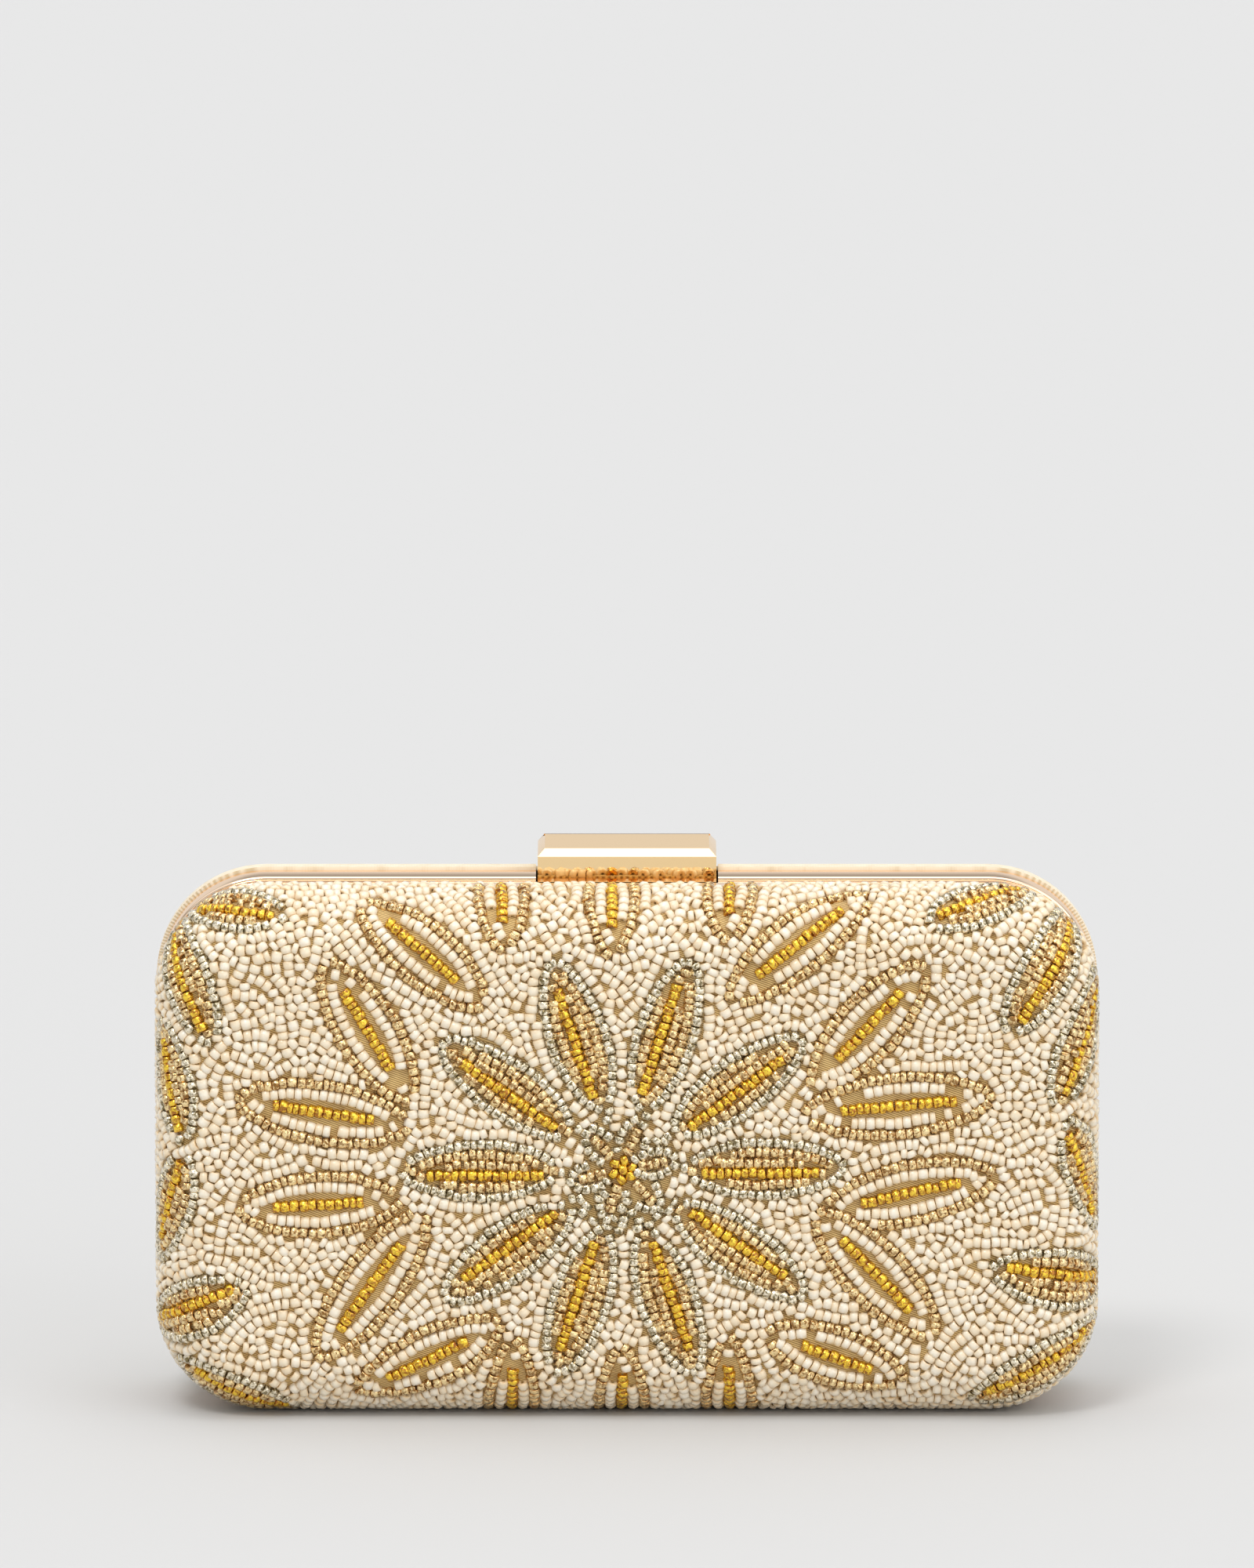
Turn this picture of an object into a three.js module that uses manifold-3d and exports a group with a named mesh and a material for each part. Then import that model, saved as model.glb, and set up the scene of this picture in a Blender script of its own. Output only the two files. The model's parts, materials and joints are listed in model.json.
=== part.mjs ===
// Evening bag: a hard box clutch of two domed half shells in a polished metal frame.
// The halves are hinged along the bottom and held by a bar clasp on the top.
// Millimetres. +X is the width, -Y the front, +Z up. The origin is on the surface that the bag
// stands on, below the middle of the bag, and y = 0 is the plane where the two halves part.
import * as THREE from "three";
import { mergeVertices } from "three/addons/utils/BufferGeometryUtils.js";
import Module from "manifold-3d";

const wasm = await Module();
wasm.setup();

// ---- Driving dimensions ----

// The case, measured over its covers
const caseWidth = 191.6;
const caseHeight = 109;
const cornerRadius = 22.5;
const edgeRadius = 13.7;
const rimStraight = 2;
const domeHeight = 1.5;

// Clearances
const gap = 0.3;
const runningGap = 0.4;

// The frame hoops, one on each half
const frameDepth = 7.5;
const frameThickness = 2.4;
const frameBevel = 0.5;
const coverProud = 1;
const stepWall = 1.2;

// The layers of each half, from the outside in
const frontCoverThickness = 2.2;
const rearCoverThickness = 1.2;
const shellThickness = 1.2;
const liningThickness = 1.6;
const liningRim = 0.5;

// The pocket sewn on the rear lining
const pocketWidth = 110;
const pocketHeight = 52;
const pocketThickness = 0.9;
const pocketCorner = 6;
const pocketDrop = 31.2;

// The hinges
const hingeOffset = 55;
const hingeLength = 24;
const knuckleRadius = 1.1;
const knuckleBore = 0.72;
const hingePinRadius = 0.5;
const leafThickness = 0.55;
const leafReach = 6.6;

// The clasp bar
const barWidth = 36.2;
const barDepth = 18;
const barOverlap = 2.7;
const barAboveFrame = 6.2;
const barChamfer = 1.45;
const barRearCorner = 1.1;
const barWall = 1.3;
const barInsertion = 0.8;
const stemWidth = 3;
const stemDepth = 1.6;
const stemReach = 3;

// The latch under the frame
const hookWidth = 5;
const hookPivotReach = 9;
const hookPinRadius = 0.9;
const hookHubRadius = 2;
const hookArmHeight = 1.8;
const hookToothDepth = 1.4;
const hookToothHeight = 2;
const strikeWidth = 14;
const strikeThickness = 1.2;
const strikeReach = 6;
const strikeLip = 1.3;
const strikeDrop = 3.4;
const rivetSpacing = 10;
const rivetRadius = 0.6;
const rivetHeadRadius = 1.2;
const housingWall = 1.2;
const housingWidth = 36;
const housingDepth = 15.5;
const housingTopDrop = 2.4;
const lugWall = 1.4;
const earReach = 9;
const screwReach = 5.4;
const earDepth = 5;
const earThickness = 1.4;
const screwRadius = 0.7;
const screwHeadRadius = 1.6;
const fastenerHeadHeight = 0.8;
const fastenerBite = 1.5;

// The springs
const springWire = 0.35;
const springRadius = 2.1;
const springTurns = 5;
const springOffset = 12;
const hookSpringWire = 0.25;
const hookSpringRadius = 1.6;
const hookSpringTurns = 4;
const hookSpringSpan = 3.2;

// How finely curves are divided
const cornerSteps = 5;
const sideSteps = 4;
const endSteps = 2;
const edgeSteps = 4;
const domeSteps = 2;
const coilSteps = 10;
const wireSides = 5;

// ---- Places worked out from them ----

const caseMiddle = caseHeight / 2;
const halfGap = gap / 2;
const shellRim = frameDepth + gap;
const edgeStart = shellRim + rimStraight;
const frameTop = caseHeight - coverProud;
const frameUnder = frameTop - frameThickness;
const barBottom = frameTop - barInsertion;
const barTop = frameTop + barAboveFrame;
const barFront = -barOverlap;
const barRear = barFront + barDepth;
const windowHalf = barWidth / 2 + runningGap;
const windowRear = barRear + runningGap;
const hingeAxisHeight = knuckleRadius + halfGap;
const strikeTop = frameUnder - gap;
const armTop = strikeTop - strikeDrop - gap;
const pivotHeight = armTop - hookHubRadius;
const housingTop = frameUnder - housingTopDrop;
const housingFloor = pivotHeight - hookHubRadius - gap;
const housingBottom = housingFloor - housingWall;
const housingFront = 1;
const housingRear = housingFront + housingDepth;
const earTop = frameUnder - gap;
const screwX = housingWidth / 2 + screwReach;
const screwY = housingFront + earDepth / 2;
const rivetY = -(windowNotch() + strikeReach) / 2;
const fastenerHole = (radius) => radius + gap;

// How far the front frame is cut back for the bar's front edge.
function windowNotch() {
  return barOverlap + runningGap;
}

// ---- Helpers ----

// A closed BufferGeometry from points and triangles, turned round if its faces point inwards.
function closedGeometry(points, faces) {
  let volume = 0;
  const [a, b, c] = [new THREE.Vector3(), new THREE.Vector3(), new THREE.Vector3()];
  for (const [i, j, k] of faces) {
    a.fromArray(points[i]);
    b.fromArray(points[j]);
    c.fromArray(points[k]);
    volume += a.dot(b.cross(c));
  }
  const ordered = volume < 0 ? faces.map(([i, j, k]) => [i, k, j]) : faces;
  return new THREE.BufferGeometry()
    .setAttribute("position", new THREE.Float32BufferAttribute(points.flat(), 3))
    .setIndex(ordered.flat());
}

// A three.js geometry as a solid that can be joined and cut.
function solid(geometry) {
  const bare = geometry.clone();
  bare.deleteAttribute("normal");
  bare.deleteAttribute("uv");
  const merged = mergeVertices(bare, 1e-4);
  return new wasm.Manifold(
    new wasm.Mesh({
      numProp: 3,
      vertProperties: merged.attributes.position.array,
      triVerts: new Uint32Array(merged.index.array),
    }),
  );
}

// A solid as a three.js geometry again.
function geometryOf(made) {
  const { vertProperties, triVerts } = made.getMesh();
  return new THREE.BufferGeometry()
    .setAttribute("position", new THREE.BufferAttribute(vertProperties, 3))
    .setIndex(new THREE.BufferAttribute(triVerts, 1));
}

// A solid box between two corners.
function block(x0, x1, y0, y1, z0, z1) {
  const box = new THREE.BoxGeometry(Math.abs(x1 - x0), Math.abs(y1 - y0), Math.abs(z1 - z0));
  return solid(box.translate((x0 + x1) / 2, (y0 + y1) / 2, (z0 + z1) / 2));
}

// A solid rod along X, centred on the given place.
function rodX(radius, x0, x1, y, z, sides = 16) {
  const rod = new THREE.CylinderGeometry(radius, radius, x1 - x0, sides).rotateZ(Math.PI / 2);
  return solid(rod.translate((x0 + x1) / 2, y, z));
}

// A solid rod along Z.
function rodZ(radius, x, y, z0, z1, sides = 16) {
  const rod = new THREE.CylinderGeometry(radius, radius, z1 - z0, sides).rotateX(Math.PI / 2);
  return solid(rod.translate(x, y, (z0 + z1) / 2));
}

// One ring of points round the case: its outline moved inwards, at one depth from the parting plane.
function outlineRing(inset, y) {
  const radius = cornerRadius - inset;
  const reachX = caseWidth / 2 - cornerRadius;
  const reachZ = caseHeight / 2 - cornerRadius;
  const centres = [
    [reachX, reachZ],
    [-reachX, reachZ],
    [-reachX, -reachZ],
    [reachX, -reachZ],
  ];
  const ring = [];
  centres.forEach(([cx, cz], corner) => {
    for (let step = 0; step <= cornerSteps; step++) {
      const turn = ((corner + step / cornerSteps) * Math.PI) / 2;
      ring.push([cx + radius * Math.cos(turn), y, caseMiddle + cz + radius * Math.sin(turn)]);
    }
    const from = ring[ring.length - 1];
    const [nx, nz] = centres[(corner + 1) % 4];
    const turn = ((corner + 1) * Math.PI) / 2;
    const to = [nx + radius * Math.cos(turn), y, caseMiddle + nz + radius * Math.sin(turn)];
    const steps = corner % 2 ? endSteps : sideSteps;
    for (let step = 1; step < steps; step++) {
      ring.push(from.map((value, axis) => value + ((to[axis] - value) * step) / steps));
    }
  });
  return ring;
}

// How far the face bulges at a point.
function bulge(x, z) {
  const u = x / (caseWidth / 2 - edgeRadius);
  const v = (z - caseMiddle) / (caseHeight / 2 - edgeRadius);
  return domeHeight * Math.max(0, 1 - u * u) * Math.max(0, 1 - v * v);
}

// The rings of one surface of a half, a constant distance inside the cover's outer surface,
// from a rim near the frame, round the edge and up to the middle of the domed face.
function surfaceRings(offset, rimY) {
  const rings = [outlineRing(offset, rimY)];
  const radius = edgeRadius - offset;
  for (let step = 0; step <= edgeSteps; step++) {
    const turn = ((step / edgeSteps) * Math.PI) / 2;
    const inset = offset + radius * (1 - Math.cos(turn));
    rings.push(outlineRing(inset, edgeStart + radius * Math.sin(turn)));
  }
  const face = rings.pop();
  for (let step = 0; step < domeSteps; step++) {
    const share = 1 - step / domeSteps;
    rings.push(
      face.map(([x, y, z]) => {
        const [px, pz] = [x * share, caseMiddle + (z - caseMiddle) * share];
        return [px, y + bulge(px, pz), pz];
      }),
    );
  }
  return rings;
}

// A thin domed tray: one half's cover, shell or lining. side is 1 for the rear, -1 for the front.
function tray(side, offset, thickness, rimY) {
  const outer = surfaceRings(offset, rimY);
  const inner = surfaceRings(offset + thickness, rimY).reverse();
  const rings = [...outer, ...inner];
  const count = outer[0].length;
  const points = rings.flat();
  const faces = [];
  for (let ring = 0; ring < rings.length; ring++) {
    if (ring === outer.length - 1) continue;
    const next = (ring + 1) % rings.length;
    for (let i = 0; i < count; i++) {
      const j = (i + 1) % count;
      const [a, b] = [ring * count + i, ring * count + j];
      const [c, d] = [next * count + j, next * count + i];
      faces.push([a, b, c], [a, c, d]);
    }
  }
  const depth = edgeStart + edgeRadius + domeHeight;
  points.push([0, depth - offset, caseMiddle], [0, depth - offset - thickness, caseMiddle]);
  const [outerLast, innerFirst] = [(outer.length - 1) * count, outer.length * count];
  for (let i = 0; i < count; i++) {
    const j = (i + 1) % count;
    faces.push([outerLast + i, outerLast + j, points.length - 2]);
    faces.push([innerFirst + j, innerFirst + i, points.length - 1]);
  }
  return solid(closedGeometry(points.map(([x, y, z]) => [x, y * side, z]), faces));
}

// A hoop round the case from its section, a list of [inset, y].
function hoop(side, section) {
  const rings = section.map(([inset, y]) => outlineRing(inset, y * side));
  const count = rings[0].length;
  const faces = [];
  rings.forEach((_, ring) => {
    const next = (ring + 1) % rings.length;
    for (let i = 0; i < count; i++) {
      const j = (i + 1) % count;
      const [a, b] = [ring * count + i, ring * count + j];
      const [c, d] = [next * count + j, next * count + i];
      faces.push([a, b, c], [a, c, d]);
    }
  });
  return solid(closedGeometry(rings.flat(), faces));
}

// A coil spring along Z, as one closed tube.
function coil(wire, radius, turns, length) {
  const steps = turns * coilSteps;
  const helix = [];
  for (let step = 0; step <= steps; step++) {
    const angle = (step / coilSteps) * 2 * Math.PI;
    const rise = wire + ((length - 2 * wire) * step) / steps;
    helix.push(new THREE.Vector3(radius * Math.cos(angle), radius * Math.sin(angle), rise));
  }
  const section = [];
  for (let i = 0; i < wireSides; i++) {
    const angle = (i / wireSides) * 2 * Math.PI;
    section.push(new THREE.Vector2(wire * Math.cos(angle), wire * Math.sin(angle)));
  }
  const extrudePath = new THREE.CatmullRomCurve3(helix);
  return new THREE.ExtrudeGeometry(new THREE.Shape(section), { steps, extrudePath });
}

// ---- Materials ----

const finish = (color, roughness, metalness) =>
  new THREE.MeshStandardMaterial({ color, roughness, metalness });
const paleGold = finish("#dfc2a8", 0.12, 1);
const claspGold = finish("#efd3a4", 0.1, 1);
const steel = finish("#b8b8ba", 0.35, 1);
const beadwork = finish("#f3e8d2", 0.35, 0);
const ribbedFabric = finish("#f5ebc8", 0.8, 0);
const shellMetal = finish("#c9c2ac", 0.5, 0.6);
const satin = finish("#e9dcc0", 0.5, 0);

const named = (name, geometry, material) => {
  const mesh = new THREE.Mesh(geometry, material);
  mesh.name = name;
  return mesh;
};
const piece = (name, made, material) => named(name, geometryOf(made), material);

// ---- The frames ----

const coverThickness = (side) => (side > 0 ? rearCoverThickness : frontCoverThickness);
const shellOffset = (side) => coverThickness(side) + gap;
const stepOffset = (side) => shellOffset(side) + shellThickness + gap;
const liningOffset = (side) => stepOffset(side) + stepWall + gap;

// A flat band that shows, a web behind it, and the inner step that the shell is pressed on.
function frameHoop(side) {
  const inner = coverProud + frameThickness;
  const step = stepOffset(side);
  const webFront = frameDepth - stepWall;
  return hoop(side, [
    [inner, halfGap],
    [coverProud + frameBevel, halfGap],
    [coverProud, halfGap + frameBevel],
    [coverProud, frameDepth - gap],
    [coverProud + gap, frameDepth],
    [step, frameDepth],
    [step, edgeStart],
    [step + stepWall, edgeStart],
    [step + stepWall, webFront],
    [inner, webFront],
  ]);
}

// The room for both hinges' knuckles, along the parting edge.
function hingeRecess(centre) {
  const half = hingeLength / 2 + runningGap;
  const reach = knuckleRadius + runningGap;
  return block(centre - half, centre + half, -reach, reach, -1, hingeAxisHeight + reach);
}

// The rectangular well that the clasp bar sinks in.
function barWell() {
  return block(-windowHalf, windowHalf, -windowNotch(), windowRear, housingTop, barTop);
}

function rearFrame() {
  let made = frameHoop(1).subtract(barWell());
  for (const centre of [-hingeOffset, hingeOffset]) made = made.subtract(hingeRecess(centre));
  const hole = fastenerHole(screwRadius);
  for (const x of [-screwX, screwX]) {
    made = made.subtract(rodZ(hole, x, screwY, frameUnder - 1, frameUnder + fastenerBite + gap));
  }
  return made;
}

function frontFrame() {
  let made = frameHoop(-1).subtract(barWell());
  for (const centre of [-hingeOffset, hingeOffset]) made = made.subtract(hingeRecess(centre));
  const hole = fastenerHole(rivetRadius);
  for (const x of [-rivetSpacing / 2, rivetSpacing / 2]) {
    made = made.subtract(rodZ(hole, x, rivetY, frameUnder - 1, frameUnder + fastenerBite + gap));
  }
  return made;
}

// ---- The shells, covers and linings ----

function rearShell() {
  return tray(1, shellOffset(1), shellThickness, shellRim).subtract(barWell());
}

function rearCover() {
  return tray(1, 0, rearCoverThickness, shellRim).subtract(barWell());
}

// The rear lining is cut away round the latch housing and its ears.
function rearLining() {
  const half = housingWidth / 2 + earReach + 2 * gap;
  const room = block(-half, half, 0, housingRear + 2 * gap, housingBottom - 1, barTop);
  return tray(1, liningOffset(1), liningThickness, liningRim).subtract(room);
}

function frontShell() {
  return tray(-1, shellOffset(-1), shellThickness, shellRim);
}

function frontCover() {
  return tray(-1, 0, frontCoverThickness, shellRim);
}

// The front lining is cut away round the strike and the hook's path.
function frontLining() {
  const half = strikeWidth / 2 + 2 * gap;
  const room = block(-half, half, -shellRim, 0, housingBottom, barTop);
  return tray(-1, liningOffset(-1), liningThickness, liningRim).subtract(room);
}

// A flat pocket in front of the rear lining's face, its base below the case's middle.
function rearPocket() {
  const shape = new THREE.Shape();
  const [half, low, high, r] = [pocketWidth / 2, 0, pocketHeight, pocketCorner];
  shape.moveTo(-half, high);
  shape.lineTo(-half, low + r);
  shape.absarc(-half + r, low + r, r, Math.PI, 1.5 * Math.PI);
  shape.absarc(half - r, low + r, r, 1.5 * Math.PI, 2 * Math.PI);
  shape.lineTo(half, high);
  shape.closePath();
  const flat = { depth: pocketThickness, bevelEnabled: false, curveSegments: cornerSteps };
  const panel = new THREE.ExtrudeGeometry(shape, flat).rotateX(Math.PI / 2);
  const face = edgeStart + edgeRadius - liningOffset(1) - liningThickness - gap;
  return panel.translate(0, face, caseMiddle - pocketDrop);
}

// ---- The hinges ----

// Knuckles along one hinge: the middle one is the front's, the outer two are the rear's.
function knuckleSpans(side) {
  const third = hingeLength / 3;
  const [outer, inner] = [hingeLength / 2, third / 2];
  if (side < 0) return [[-inner + halfGap, inner - halfGap]];
  return [
    [-outer, -inner - halfGap],
    [inner + halfGap, outer],
  ];
}

// A leaf under the frame with its knuckles rolled round the pin.
function hingeLeaf(side, centre) {
  const low = hingeAxisHeight - knuckleRadius;
  const high = low + leafThickness;
  const clear = knuckleRadius + 2 * runningGap;
  const half = hingeLength / 2;
  const [near, far] = [clear * side, leafReach * side];
  let made = block(centre - half, centre + half, near, far, low, high);
  for (const [from, to] of knuckleSpans(side)) {
    const [x0, x1] = [centre + from, centre + to];
    made = made.add(block(x0, x1, 0, near * 1.01, low, high));
    made = made.add(rodX(knuckleRadius, x0, x1, 0, hingeAxisHeight));
  }
  const bore = rodX(knuckleBore, centre - half - 1, centre + half + 1, 0, hingeAxisHeight);
  return made.subtract(bore);
}

function hingePin(centre) {
  const half = hingeLength / 2;
  return rodX(hingePinRadius, centre - half, centre + half, 0, hingeAxisHeight, 12);
}

// ---- The clasp ----

// The bar's plan, moved inwards, with its two rear corners rounded and its front ones nearly sharp.
function barPlan(inset) {
  const half = barWidth / 2 - inset;
  const [front, rear] = [barFront + inset, barRear - inset];
  const plan = [];
  const corners = [
    [half, rear, barRearCorner, 0],
    [-half, rear, barRearCorner, 1],
    [-half, front, gap, 2],
    [half, front, gap, 3],
  ];
  for (const [x, y, r, quarter] of corners) {
    const [cx, cy] = [x - Math.sign(x) * r, y - (quarter < 2 ? r : -r)];
    for (let step = 0; step <= 3; step++) {
      const turn = ((quarter + step / 3) * Math.PI) / 2;
      plan.push([cx + r * Math.cos(turn), cy + r * Math.sin(turn)]);
    }
  }
  return plan;
}

// A hollow bar with chamfered top edges, and the stem that presses on the hook.
function claspBar() {
  const levels = [
    [0, barBottom],
    [0, barTop - barChamfer],
    [barChamfer, barTop],
  ];
  const rings = levels.map(([inset, z]) => barPlan(inset).map(([x, y]) => [x, y, z]));
  const count = rings[0].length;
  const points = rings.flat();
  const faces = [];
  for (let ring = 0; ring < rings.length - 1; ring++) {
    for (let i = 0; i < count; i++) {
      const j = (i + 1) % count;
      const [a, b] = [ring * count + i, ring * count + j];
      const [c, d] = [a + count, b + count];
      faces.push([a, b, d], [a, d, c]);
    }
  }
  const last = (rings.length - 1) * count;
  for (let i = 1; i < count - 1; i++) {
    faces.push([0, i + 1, i], [last, last + i, last + i + 1]);
  }
  const half = barWidth / 2 - barWall;
  const roof = barTop - barChamfer;
  const [front, rear] = [barFront + barWall, barRear - barWall];
  const hollow = block(-half, half, front, rear, barBottom - 1, roof);
  const stem = block(
    -stemWidth / 2,
    stemWidth / 2,
    stemReach - stemDepth / 2,
    stemReach + stemDepth / 2,
    armTop + gap,
    roof + 0.2,
  );
  return solid(closedGeometry(points, faces)).subtract(hollow).add(stem);
}

// A lever that reaches forward over the parting plane and hooks up in front of the strike's lip.
function latchHook() {
  const half = hookWidth / 2;
  const toothRear = -(halfGap + runningGap + strikeLip + gap);
  const toothFront = toothRear - hookToothDepth;
  const armLow = armTop - hookArmHeight;
  const toothTop = armTop + hookToothHeight;
  return rodX(hookHubRadius, -half, half, hookPivotReach, pivotHeight)
    .add(block(-half, half, toothFront, hookPivotReach, armLow, armTop))
    .add(block(-half, half, toothFront, toothRear, armLow, toothTop))
    .subtract(rodX(fastenerHole(hookPinRadius), -half - 1, half + 1, hookPivotReach, pivotHeight));
}

// The strike: a plate under the front frame with a lip that hangs down behind the hook's tooth.
function latchStrike() {
  const half = strikeWidth / 2;
  const lipRear = -(halfGap + runningGap);
  const low = strikeTop - strikeDrop;
  const plateLow = strikeTop - strikeThickness;
  let made = block(-half, half, -strikeReach, lipRear, plateLow, strikeTop);
  made = made.add(block(-half, half, lipRear - strikeLip, lipRear, low, strikeTop));
  const hole = fastenerHole(rivetRadius);
  for (const x of [-rivetSpacing / 2, rivetSpacing / 2]) {
    made = made.subtract(rodZ(hole, x, rivetY, plateLow - 1, strikeTop + 1));
  }
  return made;
}

// A headed pin that comes up from below, through a plate and into the frame.
function fastener(radius, headRadius, x, y, plateUnder) {
  const headTop = plateUnder - gap / 2;
  return rodZ(headRadius, x, y, headTop - fastenerHeadHeight, headTop, 12).add(
    rodZ(radius, x, y, headTop - 0.1, frameUnder + fastenerBite, 12),
  );
}

// The two lugs for the hook's pin: one beside the hook, the other beyond its spring.
function lugSpans() {
  const near = hookWidth / 2 + runningGap;
  const far = near + runningGap + hookSpringSpan;
  return [
    [-near - lugWall, -near],
    [far, far + lugWall],
  ];
}

// An open tub below the bar, with two lugs for the hook's pin and two ears for its screws.
function latchHousing() {
  const half = housingWidth / 2;
  const inner = half - housingWall;
  let made = block(-half, half, housingFront, housingRear, housingBottom, housingTop);
  made = made.subtract(
    block(-inner, inner, -1, housingRear - housingWall, housingFloor, housingTop + 1),
  );
  for (const [x0, x1] of lugSpans()) {
    const reach = hookHubRadius;
    made = made.add(
      block(x0, x1, hookPivotReach - reach, hookPivotReach + reach, housingBottom, armTop),
    );
  }
  const pinHole = fastenerHole(hookPinRadius);
  made = made.subtract(rodX(pinHole, -inner + 1, inner - 1, hookPivotReach, pivotHeight));
  for (const side of [-1, 1]) {
    const rear = housingFront + earDepth;
    const riser = [half - housingWall, half + housingWall].map((x) => x * side);
    made = made.add(block(...riser, housingFront, rear, housingTop - 3, earTop));
    const ear = [half, half + earReach].map((x) => x * side);
    made = made.add(block(...ear, housingFront, rear, earTop - earThickness, earTop));
    const hole = fastenerHole(screwRadius);
    made = made.subtract(rodZ(hole, screwX * side, screwY, earTop - earThickness - 1, earTop + 1));
  }
  return made;
}

function hookPin() {
  const [[start], [, end]] = lugSpans();
  return rodX(hookPinRadius, start, end, hookPivotReach, pivotHeight, 12);
}

// The springs that lift the bar stand on the housing's floor and reach into the hollow bar.
function claspSpring(x) {
  const length = barTop - barChamfer - housingFloor - 2 * gap;
  const spring = coil(springWire, springRadius, springTurns, length);
  return spring.translate(x, hookPivotReach, housingFloor + gap);
}

// The spring that turns the hook back, coiled round its pin.
function hookSpring() {
  const spring = coil(hookSpringWire, hookSpringRadius, hookSpringTurns, hookSpringSpan);
  spring.rotateY(Math.PI / 2);
  return spring.translate(hookWidth / 2 + runningGap, hookPivotReach, pivotHeight);
}

// ---- The assembly ----

const bag = new THREE.Group();
const rearHalf = new THREE.Group();
const frontHalf = new THREE.Group();
const clasp = new THREE.Group();
bag.add(rearHalf, frontHalf, clasp);

rearHalf.add(
  piece("rear_frame", rearFrame(), paleGold),
  piece("rear_shell", rearShell(), shellMetal),
  piece("rear_cover", rearCover(), ribbedFabric),
  piece("rear_lining", rearLining(), satin),
  named("rear_pocket", rearPocket(), satin),
);
frontHalf.add(
  piece("front_frame", frontFrame(), paleGold),
  piece("front_shell", frontShell(), shellMetal),
  piece("front_cover", frontCover(), beadwork),
  piece("front_lining", frontLining(), satin),
  piece("latch_strike", latchStrike(), steel),
);
clasp.add(
  piece("clasp_bar", claspBar(), claspGold),
  piece("latch_hook", latchHook(), steel),
  piece("latch_housing", latchHousing(), steel),
  piece("hook_pin", hookPin(), steel),
  named("hook_spring", hookSpring(), steel),
);

for (const [word, sign] of [
  ["left", -1],
  ["right", 1],
]) {
  const centre = hingeOffset * sign;
  rearHalf.add(piece("rear_hinge_" + word, hingeLeaf(1, centre), paleGold));
  frontHalf.add(piece("front_hinge_" + word, hingeLeaf(-1, centre), paleGold));
  rearHalf.add(piece("hinge_pin_" + word, hingePin(centre), steel));
  const rivet = fastener(
    rivetRadius,
    rivetHeadRadius,
    (rivetSpacing / 2) * sign,
    rivetY,
    strikeTop - strikeThickness,
  );
  frontHalf.add(piece("strike_rivet_" + word, rivet, steel));
  const screw = fastener(
    screwRadius,
    screwHeadRadius,
    screwX * sign,
    screwY,
    earTop - earThickness,
  );
  clasp.add(piece("housing_screw_" + word, screw, steel));
  clasp.add(named("clasp_spring_" + word, claspSpring(springOffset * sign), steel));
}

export default bag;
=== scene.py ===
import json
import math
import random

import bmesh
import bpy
import numpy as np
from mathutils import Matrix, Vector


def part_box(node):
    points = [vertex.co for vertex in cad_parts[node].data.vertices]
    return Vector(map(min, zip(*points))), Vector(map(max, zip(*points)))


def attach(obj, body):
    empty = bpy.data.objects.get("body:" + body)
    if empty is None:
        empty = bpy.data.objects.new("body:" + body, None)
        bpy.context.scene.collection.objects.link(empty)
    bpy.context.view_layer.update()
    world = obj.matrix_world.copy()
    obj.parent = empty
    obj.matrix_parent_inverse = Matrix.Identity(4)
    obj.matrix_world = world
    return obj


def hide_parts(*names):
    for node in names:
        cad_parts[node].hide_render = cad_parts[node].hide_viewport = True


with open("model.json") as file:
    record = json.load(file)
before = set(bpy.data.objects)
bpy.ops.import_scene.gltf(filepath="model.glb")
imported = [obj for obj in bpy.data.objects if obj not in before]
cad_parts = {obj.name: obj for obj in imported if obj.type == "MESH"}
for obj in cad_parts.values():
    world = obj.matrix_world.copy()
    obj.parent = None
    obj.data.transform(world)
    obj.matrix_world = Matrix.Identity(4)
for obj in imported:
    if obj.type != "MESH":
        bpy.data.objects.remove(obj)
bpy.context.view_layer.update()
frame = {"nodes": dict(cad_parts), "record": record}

MM = 0.001

# ---- Sizes in millimetres, taken from the frame where it holds them ----


def box_mm(node):
    """A node's lowest and highest corners in millimetres."""
    low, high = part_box(node)
    return Vector(low) / MM, Vector(high) / MM


FRONT_LOW, FRONT_HIGH = box_mm("front_cover")
REAR_LOW, REAR_HIGH = box_mm("rear_cover")
FRAME_LOW, FRAME_HIGH = box_mm("front_frame")
BAR_LOW, BAR_HIGH = box_mm("clasp_bar")

CASE_WIDTH = FRONT_HIGH.x - FRONT_LOW.x
CASE_HEIGHT = FRONT_HIGH.z - FRONT_LOW.z
MIDDLE = CASE_HEIGHT / 2
RIM = REAR_LOW.y
COVER_PROUD = (CASE_WIDTH - (FRAME_HIGH.x - FRAME_LOW.x)) / 2
# The front band lies a little deeper, behind the beads that stand along it.
FRONT_BAND_INSET = COVER_PROUD + 0.55

# Radii of the outline's corners and of the edge where the face turns into the sides
CORNER = 22.5
EDGE = 13.7
EDGE_START = RIM + 2
DOME = REAR_HIGH.y - EDGE_START - EDGE

# Thickness of each layer, from the outside in
FRONT_COVER = 2.2
REAR_COVER = 1.2
WALL_GAP = 0.3
SHELL = 1.2
STEP_WALL = 1.2
LINING = 1.6
FRAME_WALL = 2.4

CORNER_HUB_X = CASE_WIDTH / 2 - CORNER
CORNER_HUB_Z = CASE_HEIGHT / 2 - CORNER
FLAT_CORNER = CORNER - EDGE
QUARTER = EDGE * math.pi / 2

BEVEL = {"affect": "EDGES", "profile": 0.5, "material": -1, "offset_type": "OFFSET"}
MERGE = 1e-4

rng = random.Random(7)


def put(name, data):
    """A new object in the scene, at the origin."""
    thing = bpy.data.objects.new(name, data)
    bpy.context.collection.objects.link(thing)
    return thing


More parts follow.
